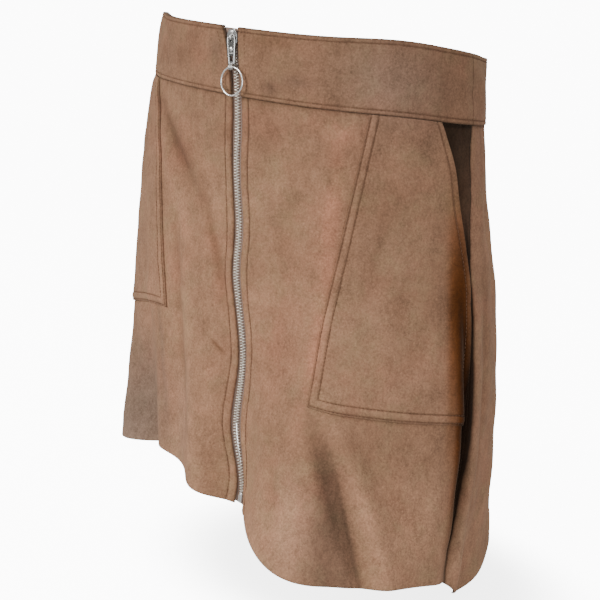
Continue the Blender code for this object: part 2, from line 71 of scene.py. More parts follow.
Section = namedtuple("Section", "drop half_width half_depth shift_left shift_back")
SECTIONS = (
    Section(0.000, 0.148, 0.107, 0.000, 0.000),
    Section(0.055, 0.156, 0.103, 0.000, 0.000),
    Section(0.125, 0.166, 0.103, 0.002, 0.003),
    Section(0.200, 0.175, 0.108, 0.0105, 0.001),
    Section(0.300, 0.181, 0.117, 0.0235, -0.008),
    Section(0.398, 0.180, 0.126, 0.034, -0.024),
)
Lean = namedtuple("Lean", "drop to_left to_back")
LEANS = (Lean(0.0, -0.03, 0.02), Lean(0.398, -0.11, -0.04))

# A large fold: its place at the hem, how far it has wandered from its start, depth at the hem (outward is
# positive), half width in degrees and the drop where it starts.
Fold = namedtuple("Fold", "angle wander depth spread start")
FOLDS = (
    Fold(-47, 0, -0.037, 10, 0.140),
    Fold(-25, 0, -0.030, 12, 0.140),
    Fold(1, 0, -0.034, 9, 0.140),
    Fold(25, -6, 0.035, 12, 0.070),
    Fold(48, 0, 0.013, 18, 0.140),
    Fold(77, 0, -0.010, 6, 0.200),
    Fold(97, 0, -0.021, 14, 0.140),
    Fold(132, -6, 0.014, 13, 0.150),
    Fold(160, 0, -0.012, 12, 0.190),
    Fold(188, 8, 0.013, 13, 0.160),
    Fold(216, 0, -0.015, 12, 0.200),
    Fold(243, -5, 0.012, 12, 0.150),
    Fold(272, 0, -0.008, 10, 0.210),
)
Rise = namedtuple("Rise", "angle rise spread")
HEM_RISES = (Rise(-90, -0.010, 22), Rise(-35, 0.016, 18), Rise(-10, 0.007, 16), Rise(40, -0.009, 20),
             Rise(100, -0.033, 22))
RIM_RISES = (Rise(52, 0.004, 22), Rise(115, -0.005, 25), Rise(180, -0.009, 50), Rise(-118, -0.0095, 36),
             Rise(-58, 0.003, 14))

Line = namedtuple("Line", "drop angle")
ZIP_LINE = (Line(0.000, -5.3), Line(0.055, -2.6), Line(0.115, -1.9), Line(0.165, -0.6), Line(0.203, -1.1),
            Line(0.264, 1.2), Line(0.330, -0.7), Line(0.381, 1.7), Line(0.398, 1.0))
SEAM_LEFT = (Line(0.000, 87.0), Line(0.055, 86.0), Line(0.112, 83.0), Line(0.174, 79.5), Line(0.398, 77.0))
SEAM_RIGHT = (Line(0.000, -93.0), Line(0.055, -92.0), Line(0.174, -88.0), Line(0.398, -86.0))
POCKET_LEFT_INNER = (Line(0.055, 41.2), Line(0.139, 32.9), Line(0.214, 27.0), Line(0.280, 24.5))
POCKET_LEFT_OUTER = (Line(0.055, 68.5), Line(0.096, 72.0), Line(0.130, 73.0), Line(0.175, 76.5),
                     Line(0.280, 76.0))
POCKET_RIGHT_INNER = (Line(0.055, -45.8), Line(0.112, -38.8), Line(0.205, -32.5), Line(0.262, -29.5))
POCKET_RIGHT_OUTER = (Line(0.055, -72.5), Line(0.096, -77.0), Line(0.130, -80.0), Line(0.175, -85.0),
                      Line(0.262, -85.5))
Opening = namedtuple("Opening", "drop right_half left_half")
ZIP_OPENING = (Opening(0.000, 0.0100, 0.0062), Opening(0.012, 0.0066, 0.0056),
               Opening(0.026, 0.0050, 0.0051), Opening(0.050, 0.0049, 0.0049),
               Opening(0.200, 0.0046, 0.0046), Opening(0.320, 0.0045, 0.0046),
               Opening(0.398, 0.0050, 0.0066))

# ---------------------------------------------------------------- creases and patches, placed one by one

# A crease runs from one place to another. Depth is outward, so a trough is negative; width is its half
# width and bow how far its middle bends to the side. Widths, depths and bows are in millimetres.
Crease = namedtuple("Crease", "angle drop end_angle end_drop width depth bow")
CREASES = (
    # wearer's right front
    Crease(-44, 0.070, -12, 0.165, 8.0, -2.2, 5.0),
    Crease(-46, 0.088, -18, 0.185, 8.0, 1.4, 6.0),
    Crease(-14, 0.140, -4, 0.250, 6.0, -1.6, 3.0),
    Crease(-9, 0.262, -4, 0.273, 3.0, -1.6, 0.0),
    Crease(-10, 0.258, -4.5, 0.266, 3.0, 0.9, 0.0),
    Crease(-27, 0.130, -17, 0.385, 7.0, -2.4, -6.0),
    Crease(-21, 0.150, -11, 0.395, 8.0, 1.8, -5.0),
    Crease(-38, 0.250, -32, 0.395, 7.0, -2.0, 3.0),
    Crease(-44, 0.180, -47, 0.390, 9.0, 1.6, 4.0),
    Crease(-60, 0.270, -57, 0.395, 9.0, -2.0, 3.0),
    Crease(-76, 0.070, -66, 0.190, 10.0, -1.4, 6.0),
    # wearer's left front
    Crease(29, 0.070, 21, 0.310, 12.0, 1.8, 4.0),
    Crease(19, 0.080, 12, 0.300, 9.0, -1.3, -4.0),
    Crease(21, 0.270, 47.0, 0.422, 8.0, -6.0, 4.0),
    Crease(29, 0.272, 53, 0.414, 8.0, 4.6, 4.0),
    Crease(31, 0.320, 38, 0.430, 10.0, -3.0, 0.0),
    Crease(13, 0.300, 20, 0.396, 7.0, -2.2, 3.0),
    Crease(40, 0.300, 60, 0.380, 9.0, -1.4, 3.0),
    Crease(62, 0.285, 66, 0.398, 10.0, 1.8, -3.0),
    Crease(73.5, 0.190, 76.5, 0.397, 4.5, -6.0, 2.0),
    Crease(68, 0.090, 66, 0.270, 10.0, -1.2, -4.0),
    Crease(50, 0.070, 43, 0.260, 14.0, 1.2, 5.0),
    Crease(36, 0.110, 30, 0.240, 9.0, -0.8, -3.0),
    # band
    Crease(28, 0.029, 40, 0.026, 1.8, -0.6, 0.6),
    Crease(28, 0.0345, 40, 0.0325, 1.8, -0.6, 0.4),
    Crease(5, 0.043, 13, 0.045, 4.0, -0.7, 0.5),
    Crease(-30, 0.020, -14, 0.030, 3.0, -0.6, 1.0),
    Crease(52, 0.012, 66, 0.019, 3.5, -0.6, 1.0),
    Crease(70, 0.034, 92, 0.030, 4.0, -0.8, -1.0),
    Crease(110, 0.016, 140, 0.024, 4.0, -0.8, 2.0),
    Crease(150, 0.036, 186, 0.031, 4.0, -0.9, -2.0),
    Crease(205, 0.017, 236, 0.026, 4.0, -0.8, 2.0),
    Crease(-100, 0.033, -72, 0.027, 4.0, -0.8, 1.0),
    # back and sides
    Crease(92, 0.075, 103, 0.200, 9.0, -1.6, 5.0),
    Crease(88, 0.160, 91, 0.390, 9.0, -2.4, 4.0),
    Crease(108, 0.120, 116, 0.350, 10.0, 1.8, -5.0),
    Crease(121, 0.210, 118, 0.392, 7.0, -2.6, 4.0),
    Crease(134, 0.062, 158, 0.118, 8.0, -1.6, 6.0),
    Crease(143, 0.240, 148, 0.396, 8.0, -2.2, -5.0),
    Crease(160, 0.070, 150, 0.210, 11.0, 1.5, 6.0),
    Crease(172, 0.085, 199, 0.102, 7.0, -1.4, 4.0),
    Crease(176, 0.220, 172, 0.396, 8.0, -2.4, 4.0),
    Crease(196, 0.180, 203, 0.394, 9.0, 1.9, -4.0),
    Crease(212, 0.066, 194, 0.150, 8.0, -1.5, -6.0),
    Crease(226, 0.230, 222, 0.396, 7.0, -2.5, 5.0),
    Crease(238, 0.090, 246, 0.260, 10.0, 1.6, 5.0),
    Crease(255, 0.150, 260, 0.392, 8.0, -2.1, -4.0),
    Crease(262, 0.070, 244, 0.128, 8.0, -1.5, -4.0),
)

# Patches of painted shade, such as the dark warm strips beside the left pocket's open edge, and patches of
# colour in the nap: half sizes in degrees and metres, tone lighter or darker, warmth towards orange brown and
# blush towards pink.
Patch = namedtuple("Patch", "angle drop half_angle half_drop tone warm blush")
PATCHES = (
    Patch(72.0, 0.200, 4.2, 0.080, -0.58, 1.0, 0.0),
    Patch(73.0, 0.280, 3.4, 0.075, -0.56, 1.0, 0.0),
    Patch(31, 0.070, 9.0, 0.016, 0.05, 0.0, 0.35),
    Patch(-30, 0.108, 7.0, 0.028, -0.10, 0.0, 0.2),
    Patch(-44, 0.350, 12.0, 0.050, -0.26, -0.35, 0.1),
    Patch(-61, 0.385, 20.0, 0.070, -0.25, -0.75, 0.0),
    Patch(-62, 0.270, 12.0, 0.110, -0.13, -0.1, 0.0),
    Patch(50, 0.030, 18.0, 0.030, 0.05, -0.45, 0.0),
    Patch(-24, 0.225, 6.0, 0.050, 0.09, 0.0, 0.1),
    Patch(-20, 0.345, 5.0, 0.050, 0.04, -0.2, 0.1),
    Patch(9.5, 0.0445, 3.2, 0.006, -0.24, -0.2, 0.20),
    Patch(18, 0.0370, 5.0, 0.005, -0.15, -0.2, 0.15),
    Patch(10, 0.0080, 8.0, 0.005, -0.13, 0.1, 0.25),
    Patch(-11, 0.0190, 3.0, 0.010, -0.19, -0.2, 0.25),
    Patch(-34, 0.0300, 9.0, 0.012, -0.10, 0.0, 0.15),
    Patch(60, 0.350, 10.0, 0.040, 0.05, 0.0, 0.05),
    Patch(52, 0.300, 8.0, 0.020, -0.12, 0.0, 0.0),
    Patch(24, 0.372, 8.0, 0.040, 0.10, -0.1, 0.05),
    Patch(35, 0.305, 6.0, 0.018, -0.12, 0.0, 0.0),
    Patch(5, 0.190, 5.0, 0.030, -0.10, 0.0, 0.1),
    Patch(12, 0.250, 5.0, 0.030, -0.06, 0.0, 0.3),
    Patch(62, 0.030, 14.0, 0.022, -0.10, 0.0, 0.25),
    Patch(48, 0.150, 12.0, 0.060, -0.13, 0.0, 0.0),
    Patch(100, 0.300, 9.0, 0.120, -0.06, 0.0, 0.1),
    Patch(150, 0.200, 20.0, 0.070, -0.07, 0.1, 0.2),
    Patch(180, 0.330, 16.0, 0.040, -0.08, 0.0, 0.1),
    Patch(205, 0.260, 18.0, 0.060, 0.06, 0.0, 0.1),
    Patch(250, 0.180, 12.0, 0.080, -0.09, 0.0, 0.2),
)

# Painted shade by drop: the cloth is painted darker towards the top and lighter towards the hem.
Fade = namedtuple("Fade", "drop tone")
DROP_SHADES = (Fade(0.000, -0.29), Fade(0.055, -0.23), Fade(0.120, -0.10), Fade(0.220, -0.01), Fade(0.300, 0.02),
         Fade(0.398, 0.08))

# Lines of painted shade along troughs and fold edges, of painted light along ridges, and of pink tint, laid
# in the nap like the creases; widths and bows in millimetres.
ShadeAndTintLine = namedtuple("ShadeAndTintLine", "angle drop end_angle end_drop width bow tone warm blush")
SHADE_AND_TINT_LINES = (
    ShadeAndTintLine(-45, 0.068, -13, 0.152, 7.0, 4.0, -0.25, 0.0, 0.10),
    ShadeAndTintLine(-36, 0.066, -8, 0.140, 6.0, 5.0, 0.12, 0.0, 0.10),
    ShadeAndTintLine(-42, 0.110, -16, 0.200, 7.0, 5.0, 0.14, 0.0, 0.15),
    ShadeAndTintLine(-16, 0.130, -4, 0.236, 5.0, 3.0, -0.22, 0.1, 0.15),
    ShadeAndTintLine(-30, 0.200, -8, 0.262, 7.0, 2.0, -0.10, 0.0, 0.05),
    ShadeAndTintLine(-9, 0.262, -4, 0.272, 1.6, 0.0, -0.35, 0.2, 0.0),
    ShadeAndTintLine(-28, 0.140, -15, 0.392, 4.5, -5.0, -0.13, 0.0, 0.05),
    ShadeAndTintLine(-36, 0.250, -31, 0.396, 5.0, 3.0, -0.12, -0.2, 0.0),
    ShadeAndTintLine(20, 0.266, 35, 0.345, 7.0, 3.0, -0.20, -0.1, 0.05),
    ShadeAndTintLine(28, 0.300, 44, 0.430, 8.5, 3.0, -0.26, -0.2, 0.05),
    ShadeAndTintLine(30, 0.330, 38, 0.440, 11.0, 0.0, -0.20, -0.2, 0.10),
    ShadeAndTintLine(29.6, 0.296, 46.6, 0.432, 1.9, 3.0, -0.30, -0.1, 0.0),
    ShadeAndTintLine(35, 0.300, 54, 0.420, 6.5, 3.0, 0.13, 0.0, 0.15),
    ShadeAndTintLine(14, 0.300, 21, 0.398, 5.0, 3.0, -0.09, 0.0, 0.15),
    ShadeAndTintLine(31, 0.062, 21, 0.320, 6.0, 4.0, 0.06, 0.05, 0.95),
    ShadeAndTintLine(34, 0.085, 24, 0.180, 7.0, 0.0, 0.05, 0.05, 0.70),
    ShadeAndTintLine(18, 0.062, 40, 0.074, 5.0, -2.0, 0.07, 0.0, 0.30),
    ShadeAndTintLine(4, 0.170, 24, 0.120, 9.0, 3.0, -0.11, 0.0, 0.10),
    ShadeAndTintLine(48, 0.090, 36, 0.200, 5.0, 3.0, -0.12, 0.0, 0.10),
    ShadeAndTintLine(58, 0.110, 52, 0.240, 8.0, -4.0, 0.08, 0.0, 0.05),
    ShadeAndTintLine(60, 0.180, 46, 0.262, 6.0, 3.0, -0.09, 0.0, 0.05),
    ShadeAndTintLine(17, 0.100, 13, 0.300, 7.0, 0.0, -0.06, 0.0, 0.15),
    ShadeAndTintLine(78.6, 0.165, 75.0, 0.450, 5.2, 0.0, -0.98, 0.15, 0.0),
    ShadeAndTintLine(80.5, 0.215, 79.5, 0.385, 5.0, 0.0, -0.42, 0.1, 0.0),
    ShadeAndTintLine(79.0, 0.120, 78.5, 0.330, 3.6, 0.0, -0.45, 0.3, 0.0),
    ShadeAndTintLine(77.0, 0.385, 73.0, 0.445, 1.8, 0.0, -0.30, 0.2, 0.0),
    ShadeAndTintLine(74.0, 0.280, 71.5, 0.430, 6.0, 0.0, -0.34, 0.2, 0.0),
    ShadeAndTintLine(70, 0.120, 67, 0.320, 5.0, -3.0, -0.12, 0.4, 0.0),
    ShadeAndTintLine(92, 0.060, 88, 0.390, 9.0, 0.0, -0.12, 0.0, 0.05),
    ShadeAndTintLine(110, 0.060, 122, 0.396, 8.0, 6.0, -0.12, 0.0, 0.1),
    ShadeAndTintLine(142, 0.150, 150, 0.396, 7.0, -5.0, -0.12, 0.0, 0.1),
    ShadeAndTintLine(176, 0.120, 172, 0.396, 7.0, 4.0, -0.13, 0.0, 0.1),
    ShadeAndTintLine(214, 0.080, 224, 0.396, 7.0, -6.0, -0.12, 0.0, 0.1),
    ShadeAndTintLine(240, 0.100, 258, 0.390, 8.0, 5.0, -0.11, 0.0, 0.1),
)


def smooth(rows: tuple, column: int, drop: np.ndarray) -> np.ndarray:
    """The value of one column at a drop: a cubic between rows, with slopes from the neighbouring rows.

    Args:
        rows: table whose first column is the drop.
        column: the column wanted.
        drop: drops in metres.

    Returns:
        The value at each drop.
    """
    table = np.array(rows)
    knots = table[:, 0]
    values = table[:, column]
    slopes = np.gradient(values, knots)
    drop = np.asarray(drop, float)
    lower = np.clip(np.searchsorted(knots, drop, side="right") - 1, 0, len(knots) - 2)
    span = knots[lower + 1] - knots[lower]
    share = np.clip((drop - knots[lower]) / span, 0, 1)
    rest = 1 - share
    ends = values[lower] * (1 + 2 * share) * rest**2 + values[lower + 1] * (1 + 2 * rest) * share**2
    return ends + span * (slopes[lower] * share * rest**2 - slopes[lower + 1] * rest * share**2)


def unit(vectors: np.ndarray) -> np.ndarray:
    """Vectors, with x, y and z on the last axis, brought to length 1."""
    return vectors / np.linalg.norm(vectors, axis=-1, keepdims=True)


def wrapped(angle: np.ndarray, middle: float) -> np.ndarray:
    """The turn from a middle angle, from -180 to 180 degrees."""
    return (angle - middle + 180) % 360 - 180


def bell(angle: np.ndarray, middle: np.ndarray, spread: float) -> np.ndarray:
    """A soft ridge of height 1 round the body."""
    return np.exp(-((wrapped(angle, middle) / spread) ** 2))


def step_up(value: np.ndarray, start: float, end: float) -> np.ndarray:
    """A smooth step from 0 at start to 1 at end."""
    share = np.clip((value - start) / (end - start), 0, 1)
    return share * share * (3 - 2 * share)


@dataclass(frozen=True)
class SkirtForm:
    """The filled-out skirt: the frame's cloth surface with its creases, and the painted shade, painted light
    and colour in its nap.
    """

    length: float = 398 * MM
    fold_start: float = 140 * MM
    rim_fade: float = 110 * MM
    fold_power: float = 1.8
    crease_scale: float = 2.75 * MM  # one degree round the body, for the creases' own lengths
    turn_step: float = 0.1
    drop_step: float = 0.5 * MM
    ripple_height: float = 0.55 * MM
    ripple_seed: int = 7
    ripple_count: int = 16
    tab_angle: float = -4.0  # where the slider and its tab need calm cloth behind them
    tab_spread: float = 8.0
    tab_calm: float = 0.9
    tab_fade: tuple[float, float] = (55 * MM, 90 * MM)
    # Painted shade in troughs and painted light on ridges, for each millimetre of a crease's height, and a
    # painted warm tint in troughs.
    tone_per_height: float = 0.035  # for each millimetre of a crease
    tone_limits: tuple[float, float] = (-0.22, 0.10)
    warm_per_depth: float = 0.02
    warm_limit: float = 0.1

    def grown(self, drop: np.ndarray, start: float) -> np.ndarray:
        """How far a fold has grown at a drop: 0 at its start, 1 at the hem."""
        return np.clip((drop - start) / (self.length - start), 0, 1)

    def base(self, angle: np.ndarray, drop: np.ndarray) -> np.ndarray:
        """The frame's outer face: ellipses from the sections, moved in and out by the large folds.

        Args:
            angle: degrees round the body.
            drop: drops in metres, of the same shape or one that broadcasts.

        Returns:
            Points, with x, y and z on the last axis.
        """
        angle, drop = np.broadcast_arrays(np.asarray(angle, float), np.asarray(drop, float))
        turn = np.radians(angle)
        half_width = smooth(SECTIONS, 1, drop)
        half_depth = smooth(SECTIONS, 2, drop)
        normal_x = np.sin(turn) * half_depth
        normal_y = -np.cos(turn) * half_width
        size = np.hypot(normal_x, normal_y)
        depth = np.zeros_like(turn)
        for fold in FOLDS:
            growth = self.grown(drop, fold.start)
            middle = fold.angle - fold.wander * (1 - growth)
            depth += fold.depth * growth**self.fold_power * bell(angle, middle, fold.spread)
        rise = np.zeros_like(turn)
        for hem in HEM_RISES:
            growth = self.grown(drop, self.fold_start) ** self.fold_power
            rise += hem.rise * growth * bell(angle, hem.angle, hem.spread)
        for rim in RIM_RISES:
            rise += rim.rise * np.clip(1 - drop / self.rim_fade, 0, 1) * bell(angle, rim.angle, rim.spread)
        across = half_width * np.sin(turn)
        along = -half_depth * np.cos(turn)
        level = smooth(LEANS, 1, drop) * across + smooth(LEANS, 2, drop) * along
        x = smooth(SECTIONS, 3, drop) + across + depth * normal_x / size
        y = smooth(SECTIONS, 4, drop) + along + depth * normal_y / size
        return np.stack([x, y, level + rise - drop], axis=-1)

    def normals(self, angle: np.ndarray, drop: np.ndarray) -> np.ndarray:
        """Unit normals of the frame's outer face, from small steps round and down.

        Args:
            angle: degrees round the body.
            drop: drops in metres.

        Returns:
            Outward normals, with x, y and z on the last axis.
        """
        around = self.base(angle + self.turn_step, drop) - self.base(angle - self.turn_step, drop)
        down = self.base(angle, drop + self.drop_step) - self.base(angle, drop - self.drop_step)
        return unit(np.cross(down, around))

    def beside(self, line: Crease | ShadeAndTintLine, angle: np.ndarray, drop: np.ndarray) -> np.ndarray:
        """The strength of a bowed line: a bell across it that fades out towards both its ends.

        Args:
            line: a row with the line's two ends, width and bow.
            angle: degrees round the body.
            drop: drops in metres.

        Returns:
            The strength at each place, from 0 to 1.
        """
        run = wrapped(np.array(line.end_angle), line.angle) * self.crease_scale
        fall = line.end_drop - line.drop
        length = math.hypot(run, fall)
        across = wrapped(angle, line.angle) * self.crease_scale
        below = drop - line.drop
        share = np.clip((across * run + below * fall) / length**2, 0, 1)
        side = (across * fall - below * run) / length
        side = side - line.bow * MM * 4 * share * (1 - share)
        return np.sin(math.pi * share) ** 0.8 * np.exp(-((side / (line.width * MM)) ** 2))

    def crease_height(self, angle: np.ndarray, drop: np.ndarray) -> np.ndarray:
        """How high the creases stand, all added together.

        Args:
            angle: degrees round the body.
            drop: drops in metres.

        Returns:
            Heights in metres, below 0 in troughs.
        """
        height = np.zeros(np.broadcast(angle, drop).shape)
        for crease in CREASES:
            height += crease.depth * MM * self.beside(crease, angle, drop)
        return height

    def ripples(self, angle: np.ndarray, drop: np.ndarray) -> np.ndarray:
        """Low uneven swells: waves with a whole number of turns round the body, with seeded phases.

        Args:
            angle: degrees round the body.
            drop: drops in metres.

        Returns:
            Heights in metres.
        """
        chance = np.random.default_rng(self.ripple_seed)
        height = np.zeros(np.broadcast(angle, drop).shape)
        for _ in range(self.ripple_count):
            turns = chance.integers(5, 26)
            waves_down = chance.uniform(-22.0, 22.0)
            phase = chance.uniform(0, 2 * math.pi)
            height += np.cos(np.radians(angle) * turns + 2 * math.pi * waves_down * drop + phase)
        return height * self.ripple_height / math.sqrt(self.ripple_count)

    def relief(self, angle: np.ndarray, drop: np.ndarray) -> np.ndarray:
        """How far creases and swells stand off the frame's face. They die away behind the slider's tab.

        Args:
            angle: degrees round the body.
            drop: drops in metres.

        Returns:
            Heights in metres.
        """
        behind_tab = bell(angle, self.tab_angle, self.tab_spread) * (1 - step_up(drop, *self.tab_fade))
        uneven = self.crease_height(angle, drop) + self.ripples(angle, drop)
        return uneven * (1 - self.tab_calm * behind_tab)

    def place(self, angle: np.ndarray, drop: np.ndarray, out: np.ndarray = 0.0) -> np.ndarray:
        """Points on, or off, the creased cloth.

        Args:
            angle: degrees round the body.
            drop: drops in metres.
            out: distance out from the creased cloth's outer face.

        Returns:
            Points, with x, y and z on the last axis.
        """
        angle, drop, out = np.broadcast_arrays(np.asarray(angle, float), np.asarray(drop, float), out)
        rise = out + self.relief(angle, drop)
        return self.base(angle, drop) + rise[..., None] * self.normals(angle, drop)

    def degrees_for(self, distance: np.ndarray, angle: np.ndarray, drop: np.ndarray) -> np.ndarray:
        """The turn that covers a distance round the body, at a place.

        Args:
            distance: metres round the body, without the folds.
            angle: degrees of the place.
            drop: its drop.

        Returns:
            The turn in degrees.
        """
        turn = np.radians(angle)
        width_part = smooth(SECTIONS, 1, drop) * np.cos(turn)
        depth_part = smooth(SECTIONS, 2, drop) * np.sin(turn)
        return np.degrees(distance / np.hypot(width_part, depth_part))

    def shade(self, angle: np.ndarray, drop: np.ndarray) -> dict[str, np.ndarray]:
        """The nap's tone, warmth and blush: painted shade, darker and warmer in troughs, painted light on
        ridges, with the patches and the lines of painted shade and tint added.

        Args:
            angle: degrees round the body.
            drop: drops in metres.

        Returns:
            The three values at each place, by name.
        """
        # Painted shade and light from the creases' heights, with a painted warm tint in the troughs.
        creased = self.crease_height(angle, drop) / MM
        tone = np.clip(creased * self.tone_per_height, *self.tone_limits) + smooth(DROP_SHADES, 1, drop)
        warm = np.clip(-creased * self.warm_per_depth, 0, self.warm_limit)
        blush = np.zeros_like(tone)
        for mark in (*PATCHES, *SHADE_AND_TINT_LINES):
            if isinstance(mark, ShadeAndTintLine):
                weight = self.beside(mark, angle, drop)
            else:
                away = (wrapped(angle, mark.angle) / mark.half_angle) ** 2
                weight = np.exp(-away - ((drop - mark.drop) / mark.half_drop) ** 2)
            tone = tone + mark.tone * weight
            warm = warm + mark.warm * weight
            blush = blush + mark.blush * weight
        return {"tone": tone, "warm": np.clip(warm, -1, 1), "blush": np.clip(blush, 0, 1)}

    def zip_frame(self, drop: float) -> tuple[Vector, Vector, Vector, Vector]:
        """The zip's own directions at one place.

        Args:
            drop: how far down the zip.

        Returns:
            The place, then across to the wearer's left, inward, and up the zip.
        """
        drops = np.array([drop - MM, drop, drop + MM])
        middle = smooth(ZIP_LINE, 1, drops)
        ends = [Vector(point) for point in self.base(middle, drops)]
        inward = -Vector(self.normals(middle[1:2], drops[1:2])[0])
        up = (ends[0] - ends[2]).normalized()
        across = inward.cross(up).normalized()
        up = across.cross(inward).normalized()
        return ends[1], across, inward, up


FORM = SkirtForm()

# ---------------------------------------------------------------- mesh helpers


def make_object(name: str, points: np.ndarray, faces: np.ndarray | list,
                fields: dict[str, np.ndarray] | None = None) -> bpy.types.Object:
    """A smooth-shaded mesh object at the origin.

    Args:
        name: the piece's name.
        points: vertices, x, y and z on the last axis.
        faces: vertex numbers of each face.
        fields: values per vertex, kept as float attributes that the finishes read.

    Returns:
        The linked object.
    """
    mesh = bpy.data.meshes.new(name)
    corners = faces.tolist() if isinstance(faces, np.ndarray) else faces
    mesh.from_pydata(points.reshape(-1, 3).tolist(), [], corners)
    for field_name, values in (fields or {}).items():
        attribute = mesh.attributes.new(field_name, "FLOAT", "POINT")
        attribute.data.foreach_set("value", np.ascontiguousarray(values, np.float32).ravel())
    mesh.shade_smooth()
    made = bpy.data.objects.new(name, mesh)
    bpy.context.scene.collection.objects.link(made)
    return made


def grid_quads(rows: int, columns: int, closed_rows: bool = False,
               closed_columns: bool = False) -> np.ndarray:
    """The faces of a grid of points, facing out when rows run down and columns to the wearer's left.

    Args:
        rows: points down the grid.
        columns: points across it.
        closed_rows: the last row joins the first.
        closed_columns: the last column joins the first.

    Returns:
        Four point numbers for each face.
    """
    row = np.arange(rows if closed_rows else rows - 1)
    column = np.arange(columns if closed_columns else columns - 1)
    row, column = np.meshgrid(row, column, indexing="ij")
    next_row = (row + 1) % rows
    next_column = (column + 1) % columns
    corners = [row * columns + column, next_row * columns + column, next_row * columns + next_column,
               row * columns + next_column]
    return np.stack(corners, axis=-1).reshape(-1, 4)


def cloth_shell(name: str, angle: np.ndarray, drop: np.ndarray, out: np.ndarray, thickness: float,
                shade: dict[str, np.ndarray]) -> bpy.types.Object:
    """A closed shell of cloth: an outer and an inner grid joined round their borders.

    Args:
        name: the piece's name.
        angle: degrees of each grid place, rows down and columns towards the wearer's left.
        drop: drop of each grid place.
        out: distance of the outer face from the creased cloth.
        thickness: the cloth's thickness.
        shade: nap values of each grid place.

    Returns:
        The object, with the nap's values and an inside value as attributes.
    """
    rows, columns = angle.shape
    outer = FORM.place(angle, drop, out)
    inner = FORM.place(angle, drop, out - thickness)
    count = rows * columns
    faces = [grid_quads(rows, columns), grid_quads(rows, columns)[:, ::-1] + count]
    corner = np.arange(count).reshape(rows, columns)
    rim = np.concatenate([corner[0, :], corner[1:, -1], corner[-1, -2::-1], corner[-2:0:-1, 0]])
    ahead = np.roll(rim, -1)
    faces.append(np.stack([rim, ahead, ahead + count, rim + count], axis=-1))
    fields = {key: np.concatenate([value.ravel(), value.ravel()]) for key, value in shade.items()}
    fields["inside"] = np.repeat([0.0, 1.0], count)
    points = np.concatenate([outer.reshape(-1, 3), inner.reshape(-1, 3)])
    return make_object(name, points, np.concatenate(faces), fields)


# Extra distances in millimetres, where a grid needs closer columns or rows.
ROUND_A_LINE = (-1.7, -1.05, -0.6, -0.25, 0.0, 0.25, 0.6, 1.05, 1.7)
BESIDE_AN_EDGE = (0.0, 0.12, 0.35, 0.7, 1.15, 1.8)
CLOSEST = 0.1 * MM


def lanes(start: float, stop: float, step: float, lines: tuple = (), edges: tuple = ()) -> np.ndarray:
    """Distances from start to stop: even ones, with closer ones round each stitch line and rolled edge.

    Args:
        start: the first distance.
        stop: the last one.
        step: the even step.
        lines: where stitch lines lie.
        edges: which of the two ends are rolled edges.

    Returns:
        The distances, in order.
    """
    fine = [np.array([start, stop]), np.arange(start + step, stop - step / 2, step)]
    fine += [line + np.array(ROUND_A_LINE) * MM for line in lines]
    for edge in edges:
        inward = 1.0 if edge == start else -1.0
        fine.append(edge + inward * np.array(BESIDE_AN_EDGE) * MM)
    merged = np.unique(np.round(np.concatenate(fine), 6))
    merged = merged[(merged >= start) & (merged <= stop)]
    keep = np.concatenate([[True], np.diff(merged) > CLOSEST])
    return merged[keep]


def filled(first: np.ndarray, last: np.ndarray, count: int) -> np.ndarray:
    """The angles of a grid whose outer columns are given.

    Args:
        first: angles of the first columns, a row for each row of the grid.
        last: angles of the last columns.
        count: columns spread evenly between them.

    Returns:
        The angles of every column.
    """
    spread = np.linspace(0, 1, count + 2)[None, 1:-1]
    between = first[:, -1:] * (1 - spread) + last[:, :1] * spread
    return np.concatenate([first, between, last], axis=1)


def known(zone: np.ndarray, shape: tuple[int, int], at_end: bool = False) -> np.ndarray:
    """Distances from an edge that are known in a few columns beside it, and far in the others.

    Args:
        zone: the distances in those columns.
        shape: rows and columns of the grid.
        at_end: the edge is that of the last column.

    Returns:
        The distance at each place of the grid.
    """
    far = np.full(shape[1] - len(zone), FAR)
    return np.broadcast_to(np.concatenate([far, zone] if at_end else [zone, far]), shape)


# Gathering along a seam. The phase shifts its waves, so that no two seams match.
Gather = namedtuple("Gather", "height phase reach")
PUCKERS = (11.3 * MM, 17.9 * MM, 31.0 * MM)
GROOVE = 0.75 * MM
# Painted shade along an edge or a stitch line: how much darker the nap is, and how far from it.
Dark = namedtuple("Dark", "amount width", defaults=(GROOVE,))


def rolled(distance: np.ndarray, radius: float) -> np.ndarray:
    """How far a rolled edge turns in, at a distance from it: a quarter circle, then flat."""
    share = 1 - np.clip(distance / radius, 0, 1)
    return -radius * (1 - np.sqrt(1 - share**2))


def groove(distance: np.ndarray, width: float = GROOVE) -> np.ndarray:
    """A stitch groove's profile, 1 on its line."""
    return np.exp(-((distance / width) ** 2))


def gathered(gather: Gather, along: np.ndarray, away: np.ndarray) -> np.ndarray:
    """Uneven gathering along a seam: waves of unlike lengths, which die away from it.

    Args:
        gather: its height, phase and reach.
        along: metres along the seam.
        away: distance from the seam.

    Returns:
        Heights in metres.
    """
    turns = (2 * math.pi * along / wave + gather.phase * order for order, wave in enumerate(PUCKERS, 1))
    waves = sum(np.sin(turn) for turn in turns) / len(PUCKERS)
    return gather.height * waves * groove(away, gather.reach)


def darken(shade: dict[str, np.ndarray], *lines: tuple[Dark, np.ndarray]) -> None:
    """Paints shade along lines by lowering the nap's tone, each line given with the distance of every place
    from it.
    """
    for dark, away in lines:
        shade["tone"] = shade["tone"] - dark.amount * groove(away, dark.width)


